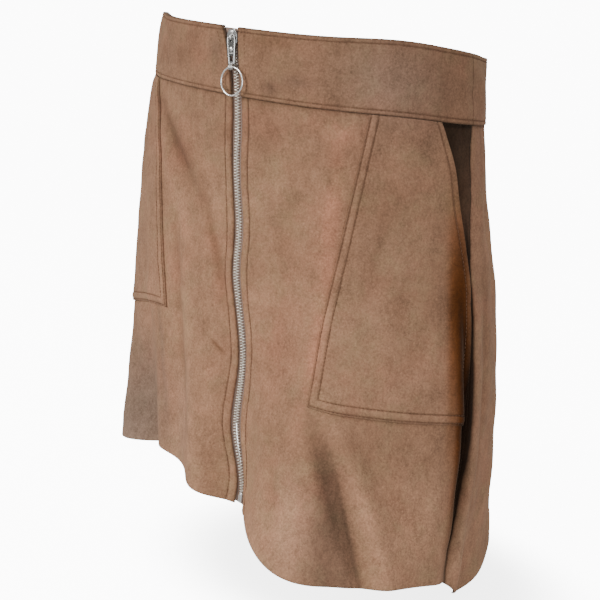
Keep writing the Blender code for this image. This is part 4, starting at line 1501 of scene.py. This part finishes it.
@dataclass(frozen=True)
class Panels:
    """The two fronts and the back, from the band's seam to the turned hem."""

    top: float = 55.1 * MM
    thickness: float = 1.5 * MM
    step: float = 2.1 * MM
    hem_turn: float = 22 * MM  # depth of the turned hem, which shows as a faint step
    mouth_end: float = 215 * MM  # where a pocket's mouth closes, and the cloth in its shade ends
    mouth_fade: float = 30 * MM
    hem_step: float = 0.35 * MM
    groove_depth: float = 0.40 * MM
    crown: float = 0.45 * MM  # of the narrow strip between the zip's edge and its stitch line
    pucker_radius: float = 0.16  # turns an angle into a length for the gathering
    zip_gather: Gather = Gather(0.42 * MM, 1.9, 8 * MM)
    left_phase: float = 0.4
    top_gather: Gather = Gather(0.40 * MM, 1.3, 9 * MM)
    side_gather: Gather = Gather(0.35 * MM, 3.1, 6 * MM)
    hem_gather: Gather = Gather(0.25 * MM, 4.2, 5 * MM)
    line_dark: Dark = Dark(0.22)
    top_dark: Dark = Dark(0.30, 1.6 * MM)
    zip_dark: Dark = Dark(0.28, 1.4 * MM)
    side_dark: Dark = Dark(0.30, 1.1 * MM)
    hem_dark: Dark = Dark(0.18, 1.1 * MM)
    tack_in: float = 3.0 * MM  # from the stitch line towards the zip

    def rows(self) -> np.ndarray:
        """The drops of the grid's rows."""
        return lanes(self.top, FORM.length, self.step, (), (FORM.length,))

    def finish(self, name: str, angle: np.ndarray, from_zip: np.ndarray, from_seam: np.ndarray,
               flat: tuple[float, float], area: float) -> bpy.types.Object:
        """Makes one panel.

        Args:
            name: the frame node that it stands for.
            angle: the grid's angles.
            from_zip: distances from the zip's edge.
            from_seam: distances from the side seam.
            flat: the size of its cut; not used.
            area: the area of its cut; not used.

        Returns:
            The piece.
        """
        drop = np.broadcast_to(self.rows()[:, None], angle.shape)
        topstitch = FrontLayout(Side.LEFT).topstitch
        from_hem = FORM.length - drop
        hem_line = FORM.length - self.hem_turn
        line = groove(from_zip - topstitch)
        zip_gather = self.zip_gather
        if name.startswith("front_left"):
            zip_gather = zip_gather._replace(phase=self.left_phase)
        along = np.radians(angle) * self.pucker_radius
        out = rolled(from_hem, 0.9 * MM) + rolled(from_zip, 1.0 * MM) + rolled(from_seam, 0.8 * MM)
        out = out + self.hem_step * step_up(drop, hem_line - MM, hem_line + MM)
        out = out - self.groove_depth * line
        out = out + self.crown * np.sin(math.pi * np.clip(from_zip / topstitch, 0, 1))
        out = out + gathered(zip_gather, drop, from_zip - topstitch)
        out = out + gathered(self.top_gather, along, drop - self.top)
        out = out + gathered(self.side_gather, drop, from_seam)
        out = out + gathered(self.hem_gather, along, from_hem - self.hem_turn)
        shade = FORM.shade(angle, drop)
        # Painted shade along the stitch groove, the band's seam, the zip's edge, the side seams and the hem.
        darken(shade, (self.line_dark, from_zip - topstitch), (self.top_dark, drop - self.top),
               (self.zip_dark, from_zip), (self.side_dark, from_seam), (self.hem_dark, from_hem))
        # Painted shade on each front past its pocket's open edge, in the pocket's mouth, fading out below it.
        if name.startswith("front"):
            fading = 1 - step_up(drop, self.mouth_end - self.mouth_fade, self.mouth_end)
            for mouth, way, dark in ((POCKET_LEFT_OUTER, 1, 0.66), (POCKET_RIGHT_OUTER, -1, 0.40)):
                past = way * (angle - smooth(mouth, 1, drop))
                shade["tone"] = shade["tone"] - dark * step_up(past, -2.0, 0.5) * fading
        piece = cloth_shell(f"{name}_suede", angle, drop, out, self.thickness, shade)
        dress(piece, Finish.SUEDE, nodes=(name,))
        return piece

    def build(self) -> None:
        """Makes the three panels, and the stitch line and bar tack on each side of the zip."""
        rows = self.rows()
        cuts = ((Side.RIGHT, (0.270, 0.345), 0.082), (Side.LEFT, (0.290, 0.345), 0.088))
        for side, flat, area in cuts:
            layout = FrontLayout(side)
            angle, from_zip, from_seam = layout.columns(rows, 105)
            name = f"front_{side.name.lower()}_panel"
            self.finish(name, angle, from_zip, from_seam, flat, area)
        angle, from_seam = back_columns(rows, 8 * MM, 225)
        from_zip = np.full(angle.shape, FAR)
        self.finish("back_panel", angle, from_zip, from_seam, (0.560, 0.360), 0.180)
        stitches = []
        down = np.linspace(self.top + MM, FORM.length - 3 * MM, 500)
        for side in Side:
            line = FrontLayout(side).topstitch_line(down)
            stitches.append(STITCHING.along(line, down, -0.14 * MM))
        for side, drop in ((Side.RIGHT, 388 * MM), (Side.LEFT, 386 * MM)):
            angle_there = float(FrontLayout(side).topstitch_line(np.array(drop)))
            shift = side.value * float(FORM.degrees_for(-self.tack_in, angle_there, drop))
            stitches.append(BarTack().at(angle_there + shift, drop, 0.1 * MM))
        sewn("front_stitching", stitches)


@dataclass(frozen=True)
class PatchPocket:
    """A big patch pocket, double stitched on its slanted edge and bottom, open along its side edge."""

    name: str
    inner: tuple
    outer: tuple
    bottom: float
    slant: float  # how much lower the outer end of the bottom edge is
    flat: tuple[float, float]
    area: float
    top: float = 55.3 * MM
    thickness: float = 1.4 * MM
    clearance: float = 0.9 * MM
    sewn_clearance: float = 0.35 * MM
    gape: float = 7.0 * MM
    gape_end: float = 190 * MM
    lines: tuple[float, float] = (1.6 * MM, 7.6 * MM)
    opening_line: float = 4.5 * MM
    step: float = 1.9 * MM
    sewn_zone: float = 14 * MM  # even columns beside the slanted edge
    open_zone: float = 9 * MM  # and beside the open edge
    spread_count: int = 42
    edge_roll: float = 1.0 * MM
    groove_depth: float = 0.40 * MM
    groove_width: float = 0.7 * MM
    sunk: float = 0.20 * MM  # the thread's seat under the face
    stitch_end: float = 1.5 * MM  # from the open edge
    pucker_radius: float = 0.15  # turns an angle into a length for the gathering
    inner_gather: Gather = Gather(0.35 * MM, 0.9, 7 * MM)
    bottom_gather: Gather = Gather(0.30 * MM, 2.6, 7 * MM)
    open_dark: Dark = Dark(0.20, 0.7 * MM)
    edge_dark: Dark = Dark(0.25, 1.0 * MM)
    line_dark: float = 0.30
    ridge_light: float = 0.05
    ridge_width: float = 2.4 * MM

    @property
    def way(self) -> float:
        """The sign of the turn from the slanted edge to the open one."""
        return 1.0 if self.outer[0].angle > self.inner[0].angle else -1.0

    def lowered(self, drop: np.ndarray, share: np.ndarray) -> np.ndarray:
        """The drops on the skirt of the pocket's rows, which spread towards its outer, lower end."""
        return drop + self.slant * share * (drop - self.top) / (self.bottom - self.top)

    def seat(self, drop: np.ndarray, from_edge: np.ndarray, share: np.ndarray) -> np.ndarray:
        """How far the pocket's inner face stands off the front: close where sewn, gaping at the opening.

        Args:
            drop: drops of the rows.
            from_edge: distance from the nearest sewn edge.
            share: share of the way across, 1 at the open edge.

        Returns:
            The distance at each place.
        """
        opening = np.clip((drop - self.top) / (self.gape_end - self.top), 0, 1)
        lift = self.gape * np.sin(math.pi * opening) ** 0.85 * share**3
        eased = (self.clearance - self.sewn_clearance) * step_up(from_edge, 0, 6 * MM)
        return self.sewn_clearance + eased + lift

    def columns(self, drop: np.ndarray) -> tuple[np.ndarray, np.ndarray, np.ndarray, np.ndarray]:
        """The columns of the pocket's grid.

        Args:
            drop: the drop of each row.

        Returns:
            Angles, distances from the slanted and from the open edge, and share of the way across.
        """
        rows = drop[:, None]
        inner = smooth(self.inner, 1, rows)
        outer = smooth(self.outer, 1, rows)
        near = lanes(0.0, self.sewn_zone, self.step, self.lines, (0.0,))
        far = lanes(0.0, self.open_zone, self.step, (self.opening_line,), (0.0,))[::-1]
        near_angle = inner + self.way * FORM.degrees_for(near, inner, rows)
        far_angle = outer - self.way * FORM.degrees_for(far, outer, rows)
        angle = filled(near_angle, far_angle, self.spread_count)
        share = (angle - inner) / (outer - inner)
        grids = (angle, known(near, angle.shape), known(far, angle.shape, True), share)
        return tuple(grid[:, ::-1] for grid in grids) if self.way < 0 else grids

    def face(self, drop: np.ndarray, from_inner: np.ndarray, share: np.ndarray) -> np.ndarray:
        """The outer face's distance from the front, without its edges and grooves.

        Args:
            drop: drops of the rows.
            from_inner: distance from the slanted edge.
            share: share of the way across.

        Returns:
            The distance at each place.
        """
        from_bottom = self.bottom - drop
        from_edge = np.minimum(np.minimum(from_inner, from_bottom), drop - self.top)
        tucked = 0.45 * MM * (1 - step_up(drop - self.top, 0, 8 * MM))
        return self.thickness + self.seat(drop, from_edge, share) - tucked

    def build(self) -> None:
        """Makes the pocket and its stitching."""
        bottom_lines = tuple(self.bottom - line for line in self.lines)
        rows = lanes(self.top, self.bottom, self.step, bottom_lines, (self.bottom,))
        angle, from_inner, from_open, share = self.columns(rows)
        drop = np.broadcast_to(rows[:, None], angle.shape)
        from_bottom = self.bottom - drop
        corner = np.minimum(from_inner, from_bottom)
        along = np.radians(angle) * self.pucker_radius
        grooves = sum(groove(corner - line, self.groove_width) for line in self.lines)
        open_groove = groove(from_open - self.opening_line, self.groove_width)
        ridge = groove(corner - sum(self.lines) / 2, self.ridge_width)
        out = self.face(drop, from_inner, share)
        for away in (from_inner, from_bottom, from_open):
            out = out + rolled(away, self.edge_roll)
        out = out - self.groove_depth * (grooves + open_groove) + self.groove_depth * ridge
        out = out + gathered(self.inner_gather, drop, from_inner - self.lines[1])
        out = out + gathered(self.bottom_gather, along, from_bottom - self.lines[1])
        lower = self.lowered(drop, share)
        shade = FORM.shade(angle, lower)
        # Painted shade in the stitch grooves and along the edges, and painted light on the ridge between the
        # two stitch lines.
        shade["tone"] = shade["tone"] - self.line_dark * grooves + self.ridge_light * ridge
        darken(shade, (self.open_dark, from_open - self.opening_line), (self.edge_dark, from_inner),
               (self.edge_dark, from_bottom))
        piece = cloth_shell(f"{self.name}_suede", angle, lower, out, self.thickness, shade)
        dress(piece, Finish.POCKET, nodes=(self.name,))
        self.stitch()

    def stitch(self) -> None:
        """Sews two rows on the slanted edge and bottom, and one along the open edge."""
        stitches = []

        def row(turned: np.ndarray, down: np.ndarray, share: np.ndarray, from_inner: float) -> None:
            """Adds one row, sunk into the pocket's face."""
            out = self.face(down, np.full(down.shape, from_inner), share) - self.sunk
            stitches.append(STITCHING.along(turned, self.lowered(down, share), out))

        for line in self.lines:
            down = np.linspace(self.top + MM, self.bottom - line, 260)
            inner = smooth(self.inner, 1, down)
            turned = inner + self.way * FORM.degrees_for(line, inner, down)
            row(turned, down, (turned - inner) / (smooth(self.outer, 1, down) - inner), line)
            lowest = down[-1]
            outer = float(smooth(self.outer, 1, lowest))
            start = inner[-1] + self.way * float(FORM.degrees_for(line, inner[-1], lowest))
            end = outer - self.way * float(FORM.degrees_for(self.stitch_end, start, lowest))
            across = np.linspace(start, end, 200)
            row(across, np.full(across.shape, lowest), (across - inner[-1]) / (outer - inner[-1]), FAR)
        down = np.linspace(self.top + MM, self.bottom - self.lines[0], 260)
        inner = smooth(self.inner, 1, down)
        outer = smooth(self.outer, 1, down)
        turned = outer - self.way * FORM.degrees_for(self.opening_line, outer, down)
        row(turned, down, (turned - inner) / (outer - inner), FAR)
        sewn(f"{self.name}_stitching", stitches)


# ---------------------------------------------------------------- the zip


@dataclass(frozen=True)
class ZipTapes:
    """The two woven tapes behind the fronts' edges, each with a cord along its inner edge."""

    inner: float = 0.3 * MM  # the teeth clamp this edge
    outer: float = 14.0 * MM
    sink: float = 1.95 * MM
    thickness: float = 0.6 * MM
    top: float = 1.5 * MM
    bottom: float = 396.0 * MM
    bead: float = 0.35 * MM  # the cord, its place and its half width
    bead_place: float = 2.9 * MM
    bead_width: float = 0.6 * MM

    def build(self) -> None:
        """Makes both tapes."""
        drops = np.linspace(self.top, self.bottom, 200)[:, None]
        reach = lanes(self.inner, self.outer, 1.2 * MM, (), (self.inner,))[None]
        for side in Side:
            middle = smooth(ZIP_LINE, 1, drops)
            angle = middle + side.value * FORM.degrees_for(reach, middle, drops)
            from_cord = np.broadcast_to(reach - self.inner, angle.shape)
            if side is Side.RIGHT:
                angle = angle[:, ::-1]
                from_cord = from_cord[:, ::-1]
            drop = np.broadcast_to(drops, angle.shape)
            out = -self.sink + self.bead * groove(from_cord - self.bead_place, self.bead_width)
            word = side.name.lower()
            plain = {"tone": np.zeros(angle.shape)}
            piece = cloth_shell(f"zip_tape_{word}_cloth", angle, drop, out, self.thickness, plain)
            dress(piece, Finish.TAPE, nodes=(f"zip_tape_{word}",))


@dataclass(frozen=True)
class ZipTeeth:
    """The chain: two rows of metal teeth, each a foot on its tape and a head that meets in the middle."""

    pitch: float = 2.4 * MM
    first: float = 9.6 * MM
    last: float = 384.0 * MM
    depth: float = 1.5 * MM  # of a tooth's middle, under the cloth's face
    foot: tuple[float, float, float] = (0.98 * MM, 1.15 * MM, 0.50 * MM)
    foot_from_middle: float = 1.42 * MM
    head: tuple[float, float, float] = (0.78 * MM, 0.85 * MM, 0.40 * MM)
    head_from_middle: float = 0.35 * MM
    head_proud: float = 0.1 * MM

    def build(self) -> None:
        """Makes both rows, half a pitch apart."""
        for side in Side:
            word = side.name.lower()
            shift = self.pitch / 2 if side is Side.LEFT else 0.0
            drops = np.arange(self.first + shift, self.last, self.pitch)
            middle = smooth(ZIP_LINE, 1, drops)
            spot = FORM.place(middle, drops, -self.depth)
            above = smooth(ZIP_LINE, 1, drops - MM)
            up = unit(FORM.place(above, drops - MM, -self.depth) - spot)
            across = unit(np.cross(-FORM.normals(middle, drops), up))
            foot = moved(pillow_block(self.foot, 0.38, 5, 12), side.value * self.foot_from_middle)
            head = moved(pillow_block(self.head, 0.55, 5, 10), side.value * self.head_from_middle,
                         -self.head_proud)
            points, faces = copies(*joined([foot, head]), spot, across, np.cross(up, across), up)
            piece = make_object(f"zip_teeth_{word}_metal", points, faces)
            dress(piece, Finish.TEETH, nodes=(f"zip_teeth_{word}",))


def outline_plate(outlines: list, thickness: float, bevel: float) -> tuple[np.ndarray, list]:
    """A flat plate in the x-z plane from closed outlines; an outline inside another is a hole.

    Args:
        outlines: lists of (x, z).
        thickness: along y, centred on 0.
        bevel: the rounding of its edges, which also grows the plate by as much.

    Returns:
        Its vertices and faces.
    """
    curve = bpy.data.curves.new("outline", "CURVE")
    curve.dimensions = "2D"
    curve.fill_mode = "BOTH"
    curve.extrude = thickness / 2 - bevel
    curve.bevel_depth = bevel
    curve.bevel_resolution = 2
    for outline in outlines:
        spline = curve.splines.new("POLY")
        spline.points.add(len(outline) - 1)
        for point, (x, z) in zip(spline.points, outline):
            point.co = (x, z, 0, 1)
        spline.use_cyclic_u = True
    made = bpy.data.objects.new("outline", curve)
    bpy.context.scene.collection.objects.link(made)
    bpy.context.view_layer.update()
    mesh = bpy.data.meshes.new_from_object(made.evaluated_get(bpy.context.evaluated_depsgraph_get()))
    bpy.data.objects.remove(made)
    count = len(mesh.vertices)
    flat = np.empty(count * 3)
    mesh.vertices.foreach_get("co", flat)
    flat = flat.reshape(-1, 3)
    points = np.stack([flat[:, 0], -flat[:, 2], flat[:, 1]], axis=-1)
    faces = [list(face.vertices) for face in mesh.polygons]
    bpy.data.meshes.remove(mesh)
    return points, faces


def rounded_outline(corners: list, radius: float, steps: int = 5) -> list:
    """A closed outline with each corner cut by a small arc.

    Args:
        corners: (x, z) of the sharp corners, in order.
        radius: of the arcs.
        steps: edges in each arc.

    Returns:
        The outline as (x, z) pairs.
    """
    made = []
    for index, corner in enumerate(corners):
        here = Vector(corner)
        before = (Vector(corners[index - 1]) - here).normalized()
        after = (Vector(corners[(index + 1) % len(corners)]) - here).normalized()
        half_turn = before.angle(after) / 2
        reach = radius / math.tan(half_turn)
        centre = here + (before + after).normalized() * radius / math.sin(half_turn)
        start = here + before * reach - centre
        sweep = start.angle_signed(here + after * reach - centre)
        for step in range(steps + 1):
            turned = start.copy()
            turned.rotate(Matrix.Rotation(-sweep * step / steps, 2))
            made.append(tuple(centre + turned))
    return made


def moved(shape: tuple[np.ndarray, list], x: float = 0.0, y: float = 0.0, z: float = 0.0) -> tuple:
    """A shape moved along x, y and z."""
    return shape[0] + np.array([x, y, z]), shape[1]


SHARP_ANGLE = 50.0  # an edge of the metal that turns more than this many degrees stays crisp

# The tab's web, with the slot round the bridge and the window as holes in it, in millimetres.
TabOutline = namedtuple("TabOutline", "top top_half shoulder shoulder_half bottom bottom_half radius")
TAB_OUTLINES = (
    TabOutline(0.25, 3.9, -3.2, 4.5, -21.4, 3.1, 0.5),
    TabOutline(-0.25, 1.5, None, None, -3.6, 1.5, 0.4),
    TabOutline(-14.4, 1.55, None, None, -18.9, 1.35, 0.35),
)
TabRail = namedtuple("TabRail", "half_width height")
TAB_RAIL = (TabRail(3.35, 0.2), TabRail(3.7, -2.0), TabRail(3.65, -4.2), TabRail(3.2, -9.5),
            TabRail(2.75, -15.5), TabRail(2.45, -20.6))
TabBar = namedtuple("TabBar", "height half_width")
TAB_BARS = (TabBar(0.0, 3.3), TabBar(-12.6, 2.8), TabBar(-20.4, 2.3))


def tapered(top: float, top_half: float, shoulder: float | None, shoulder_half: float | None,
            bottom: float, bottom_half: float) -> list[tuple[float, float]]:
    """The corners of an outline that is the same on both sides.

    Args:
        top: height of its top edge in millimetres.
        top_half: half the top edge's width.
        shoulder: height of its widest place, or None without one.
        shoulder_half: half the width there.
        bottom: height of its bottom edge.
        bottom_half: half the bottom edge's width.

    Returns:
        Corners in order, (x, z) in metres.
    """
    halves = [(top_half, top), (shoulder_half, shoulder), (bottom_half, bottom)]
    down = [(half * MM, height * MM) for half, height in halves if height is not None]
    up = [(-half, height) for half, height in reversed(down)]
    return [up[-1], *down, *up[:-1]]


@dataclass(frozen=True)
class ZipHardware:
    """The slider at the top of the zip, its tab and ring hanging plumb, and the stop at the bottom."""

    slider_drop: float = 8.5 * MM
    slider_width: float = 9.8 * MM
    slider_length: float = 11.6 * MM
    plate: float = 1.2 * MM
    mouth: float = 3.0 * MM
    bridge_reach: tuple[float, float] = (2.6 * MM, 2.1 * MM)  # out, and half its height
    pivot_out: float = 2.1 * MM
    tab_web: float = 0.75 * MM
    rail_tube: float = 0.62 * MM
    bar_tube: float = 0.50 * MM
    eye_down: float = 23.4 * MM
    eye_reach: tuple[float, float] = (1.9 * MM, 2.1 * MM)  # half its depth and height
    eye_tube: float = 0.55 * MM
    ring_radius: float = 11.2 * MM
    ring_tube: float = 0.76 * MM
    stop_drop: float = 390 * MM

    def hanging(self) -> tuple[Vector, Vector, Vector, Vector]:
        """Where the tab hangs.

        Returns:
            Its pivot, then across, inward and plumb up.
        """
        place, across, inward, _ = FORM.zip_frame(self.slider_drop)
        plumb = Vector((0, 0, 1))
        plumb = (plumb - across * plumb.dot(across)).normalized()
        return place - inward * self.pivot_out, across, plumb.cross(across), plumb

    def metal(self, name: str, parts: list, place: tuple, body: str = "skirt", recess_shades: tuple = ()) -> None:
        """Joins shapes as one polished piece.

        Args:
            name: the frame node that it stands for.
            parts: vertices and faces of each shape.
            place: where it goes, and its three directions.
            body: the body that it rides on.
            recess_shades: how much painted shade darkens each shape's recess; none where no shape is shaded.
        """
        points, faces = joined(parts)
        origin, *directions = place
        recess = [np.full(len(part[0]), dark) for part, dark in zip(parts, recess_shades)]
        fields = {"recess": np.concatenate(recess)} if recess_shades else {}
        world = np.array(origin) + points @ np.array(directions)
        piece = make_object(f"{name}_metal", world, faces, fields)
        if len(parts) > 1:
            piece.data.set_sharp_from_angle(angle=math.radians(SHARP_ANGLE))
        dress(piece, Finish.POLISHED, body, (name,))

    def slider(self) -> None:
        """Makes two shield-shaped plates, the post between them, the arched bridge and its two feet."""
        half = self.slider_width / 2
        top = self.slider_length / 2
        right_side = [(half * 0.55, top), (half, top * 0.35), (half * 0.86, -top)]
        shield = [(-half * 0.55, top), *right_side, (-half * 0.86, -top), (-half, top * 0.35)]
        outline = rounded_outline(shield, 1.5 * MM)
        front, rear = (moved(outline_plate([outline], self.plate, 0.4 * MM), y=y)
                       for y in (-self.plate / 2, self.mouth + self.plate / 2))
        post = moved(pillow_block((1.3 * MM, 2.3 * MM, 1.7 * MM), 0.4), y=self.mouth / 2, z=top - 2.3 * MM)
        turn = np.linspace(0, math.pi, 15)
        outward = -self.plate * 0.6 - self.bridge_reach[0] * np.sin(turn)
        arch = np.stack([0 * turn, outward, self.bridge_reach[1] * np.cos(turn)], axis=-1)
        bridge = swept_tube(arch, 0.62 * MM, np.array([1.0, 0, 0]), 10)
        crown = moved(pillow_block((2.4 * MM, 0.7 * MM, 1.1 * MM), 0.8), y=-self.plate, z=top - 1.6 * MM)
        heel = moved(pillow_block((1.5 * MM, 0.55 * MM, 0.9 * MM), 0.8), y=-self.plate, z=-top + 1.9 * MM)
        # Painted shade: the plates and post are painted darker as recesses, the heel and crown a little.
        self.metal("zip_slider", [front, rear, post, bridge, crown, heel], FORM.zip_frame(self.slider_drop),
                   recess_shades=(0.55, 0.7, 0.8, 0.0, 0.1, 0.3))

    def tab(self) -> None:
        """Makes a thin web between two rails, with a slot round the bridge, a boss, a window and an eye."""
        outlines = [rounded_outline(tapered(*sizes), radius * MM) for *sizes, radius in TAB_OUTLINES]
        parts = [outline_plate(outlines, self.tab_web, 0.2 * MM)]
        for sign in (-1, 1):
            rail = np.array([(sign * x, 0, z) for x, z in TAB_RAIL]) * MM
            parts.append(swept_tube(rail, self.rail_tube, np.array([1.0, 0, 0]), 10))
        for height, half_width in TAB_BARS:
            bar = np.array([[-half_width, 0, height], [0, 0, height], [half_width, 0, height]]) * MM
            parts.append(swept_tube(bar, self.bar_tube, np.array([0, 0, 1.0]), 10))
        parts.append(moved(pillow_block((1.5 * MM, 0.75 * MM, 2.1 * MM), 1.0), y=-0.25 * MM, z=-9.4 * MM))
        turn = np.linspace(0, 2 * math.pi, 25)[:-1]
        for place in np.linspace(-1.6, 1.6, 3):
            deep, high = self.eye_reach
            loop = np.stack([np.full(24, place * MM), deep * np.sin(turn), high * np.cos(turn)], axis=-1)
            circle = loop + np.array([0, 0, -self.eye_down])
            parts.append(swept_tube(circle, self.eye_tube, np.array([1.0, 0, 0]), 8, True))
        # Painted shade: the web between the rails is painted darkest, the eye's loops and the boss less.
        self.metal("pull_tab", parts, self.hanging(), "pull_tab",
                   (0.85, 0.0, 0.0, 0.0, 0.05, 0.0, 0.1, 0.35, 0.35, 0.35))

    def ring(self) -> None:
        """Makes the round wire ring that hangs in the tab's eye."""
        pivot, *directions = self.hanging()
        middle = pivot - directions[2] * (self.eye_down + self.ring_radius)
        turn = np.linspace(0, 2 * math.pi, 121)[:-1]
        circle = np.stack([np.sin(turn), 0 * turn, np.cos(turn)], axis=-1) * self.ring_radius
        wire = swept_tube(circle, self.ring_tube, np.array([0, 1.0, 0]), 14, True)
        self.metal("pull_ring", [wire], (middle, *directions), "pull_ring")

    def stop(self) -> None:
        """Makes the bottom stop: a crimped block over both tapes."""
        block = moved(pillow_block((2.3 * MM, 1.5 * MM, 4.5 * MM), 0.28, 9, 20), y=1.5 * MM)
        rib = moved(pillow_block((0.5 * MM, 0.4 * MM, 3.4 * MM), 0.5), y=0.05 * MM)
        self.metal("zip_bottom_stop", [block, rib], FORM.zip_frame(self.stop_drop))

    def build(self) -> None:
        """Makes all four pieces."""
        for make in (self.slider, self.tab, self.ring, self.stop):
            make()


# ---------------------------------------------------------------- studio


@dataclass(frozen=True)
class Studio:
    """Camera, soft lights and a pale seamless sweep that glows, with a painted shadow under the skirt."""

    azimuth: float = 33.0
    distance: float = 1.104
    height: float = 0.003
    yaw: float = -0.18
    pitch: float = 12.2
    roll: float = 5.09
    lens: float = 75.74
    sensor: float = 36.0
    floor_gap: float = 10 * MM
    bend: float = 1.8
    wall: float = 7.0
    paper_glow: float = 10.5
    # A painted shadow in the paper's glow: its middle, reach, depth and the shares of its reach where it
    # fades.
    shade_place: tuple[float, float] = (0.10, 0.00)
    shade_reach: tuple[float, float] = (0.24, 0.20)
    shade_depth: float = 0.60
    shade_edge: tuple[float, float] = (0.45, 1.0)  # shares of its reach where it starts to fade, and ends
    sky: float = 0.58
    aim: tuple[float, float, float] = (0.0, 0.0, -0.2)

    def camera(self) -> None:
        """A camera at waist height, to the wearer's left of the front, looking a little down and rolled."""
        data = bpy.data.cameras.new("camera")
        data.sensor_width = self.sensor
        data.lens = self.lens
        data.clip_start = 0.01
        data.clip_end = 50.0
        made = bpy.data.objects.new("camera", data)
        bpy.context.scene.collection.objects.link(made)
        turn = math.radians(self.azimuth)
        look = math.radians(self.azimuth + self.yaw)
        pitch = math.radians(self.pitch)
        roll = math.radians(self.roll)
        back = Vector((math.sin(look) * math.cos(pitch), -math.cos(look) * math.cos(pitch), math.sin(pitch)))
        right = Vector((math.cos(look), math.sin(look), 0.0))
        up = back.cross(right)
        x = right * math.cos(roll) + up * math.sin(roll)
        y = up * math.cos(roll) - right * math.sin(roll)
        matrix = Matrix((x, y, back)).transposed().to_4x4()
        matrix.translation = (self.distance * math.sin(turn), -self.distance * math.cos(turn), self.height)
        made.matrix_world = matrix
        bpy.context.scene.camera = made

    def glow_under(self, graph: NodeGraph) -> bpy.types.NodeSocket:
        """The paper's glow: even, with a painted shadow, a soft oval, under the skirt and to its left.

        Args:
            graph: the paper's nodes.

        Returns:
            The glow's strength.
        """
        split = graph.tree.nodes.new("ShaderNodeSeparateXYZ")
        graph.tree.links.new(graph.coordinates, split.inputs[0])
        squares = []
        for axis, (place, reach) in enumerate(zip(self.shade_place, self.shade_reach)):
            away = graph.math("DIVIDE", graph.math("SUBTRACT", split.outputs[axis], place), reach)
            squares.append(graph.math("POWER", graph.math("ABSOLUTE", away), 2.0))
        oval = graph.math("SQRT", graph.math("ADD", *squares))
        node = graph.tree.nodes.new("ShaderNodeMapRange")
        node.interpolation_type = "SMOOTHERSTEP"
        glows = (self.paper_glow * (1 - self.shade_depth), self.paper_glow)
        for index, item in enumerate((oval, *self.shade_edge, *glows)):
            graph.feed(node.inputs[index], item)
        return node.outputs[0]

    def sweep(self, lowest: float) -> None:
        """The paper floor, curved up into a wall all round: one profile turned about the upright axis.

        Args:
            lowest: the height of the skirt's lowest point.
        """
        bend = np.linspace(0, math.pi / 2, 17)
        level = np.array([0.001, 1.0, 2.2])
        reach = np.concatenate([level, level[-1] + self.bend * np.sin(bend), [level[-1] + self.bend]])
        height = np.concatenate([0 * level, self.bend * (1 - np.cos(bend)), [self.wall]])
        height = height + lowest - self.floor_gap
        turn = np.linspace(0, 2 * math.pi, 97)[:-1]
        spoke = np.stack([np.sin(turn), -np.cos(turn)], axis=-1)
        flat = reach[:, None, None] * spoke[None]
        points = np.concatenate([flat, np.broadcast_to(height[:, None, None], (*flat.shape[:2], 1))], axis=-1)
        faces = grid_quads(len(reach), len(turn), False, True).tolist() + [list(range(len(turn)))[::-1]]
        made = make_object("studio_sweep", points, faces)
        graph = NodeGraph("studio_paper")
        graph.set(Base_Color=(0.93, 0.93, 0.93, 1.0), Roughness=0.95, Specular_IOR_Level=0.1,
                  Emission_Color=(1.0, 1.0, 1.0, 1.0))
        graph.feed(graph.shader.inputs["Emission Strength"], self.glow_under(graph))
        made.data.materials.append(graph.material)
        made.visible_diffuse = False
        made.visible_glossy = False
        made.visible_shadow = False

    def light(self, name: str, place: tuple, size: float, power: float,
              colour: tuple = (1.0, 1.0, 1.0)) -> None:
        """A square soft light aimed at the skirt's middle.

        Args:
            name: the light's name.
            place: where it stands.
            size: its side.
            power: in watts.
            colour: its colour.
        """
        data = bpy.data.lights.new(name, "AREA")
        data.shape = "SQUARE"
        data.size = size
        data.energy = power
        data.color = colour
        made = bpy.data.objects.new(name, data)
        bpy.context.scene.collection.objects.link(made)
        made.location = place
        made.rotation_euler = (Vector(self.aim) - Vector(place)).to_track_quat("-Z", "Y").to_euler()

    def build(self, lowest: float) -> None:
        """Makes the lights, the sweep and the pale surroundings.

        Args:
            lowest: the height of the skirt's lowest point.
        """
        world = bpy.data.worlds.new("studio")
        bpy.context.scene.world = world
        world.use_nodes = True
        sky = world.node_tree.nodes["Background"]
        sky.inputs["Color"].default_value = (1.0, 1.0, 1.0, 1.0)
        sky.inputs["Strength"].default_value = self.sky
        self.light("key", (-1.1, -2.0, 0.9), 1.1, 56.0, (1.0, 0.985, 0.96))
        self.light("fill", (1.5, -1.9, -0.1), 1.2, 21.0, (0.93, 0.97, 1.0))
        self.light("top", (0.2, 0.6, 2.4), 1.8, 14.0)
        self.sweep(lowest)


def main() -> None:
    """Builds the studio and every piece of the skirt."""
    logging.basicConfig(level=logging.INFO, format="%(name)s: %(message)s")
    studio = Studio()
    studio.camera()
    Waistband().build()
    Panels().build()
    PatchPocket("pocket_right", POCKET_RIGHT_INNER, POCKET_RIGHT_OUTER, 256 * MM, 24 * MM, (0.128, 0.225),
                0.0235).build()
    PatchPocket("pocket_left", POCKET_LEFT_INNER, POCKET_LEFT_OUTER, 280 * MM, 0.0, (0.136, 0.228),
                0.0250).build()
    ZipTapes().build()
    ZipTeeth().build()
    ZipHardware().build()
    studio.build(CAD_BOX[0].z)
    bpy.context.view_layer.update()


if __name__ == "__main__":
    main()
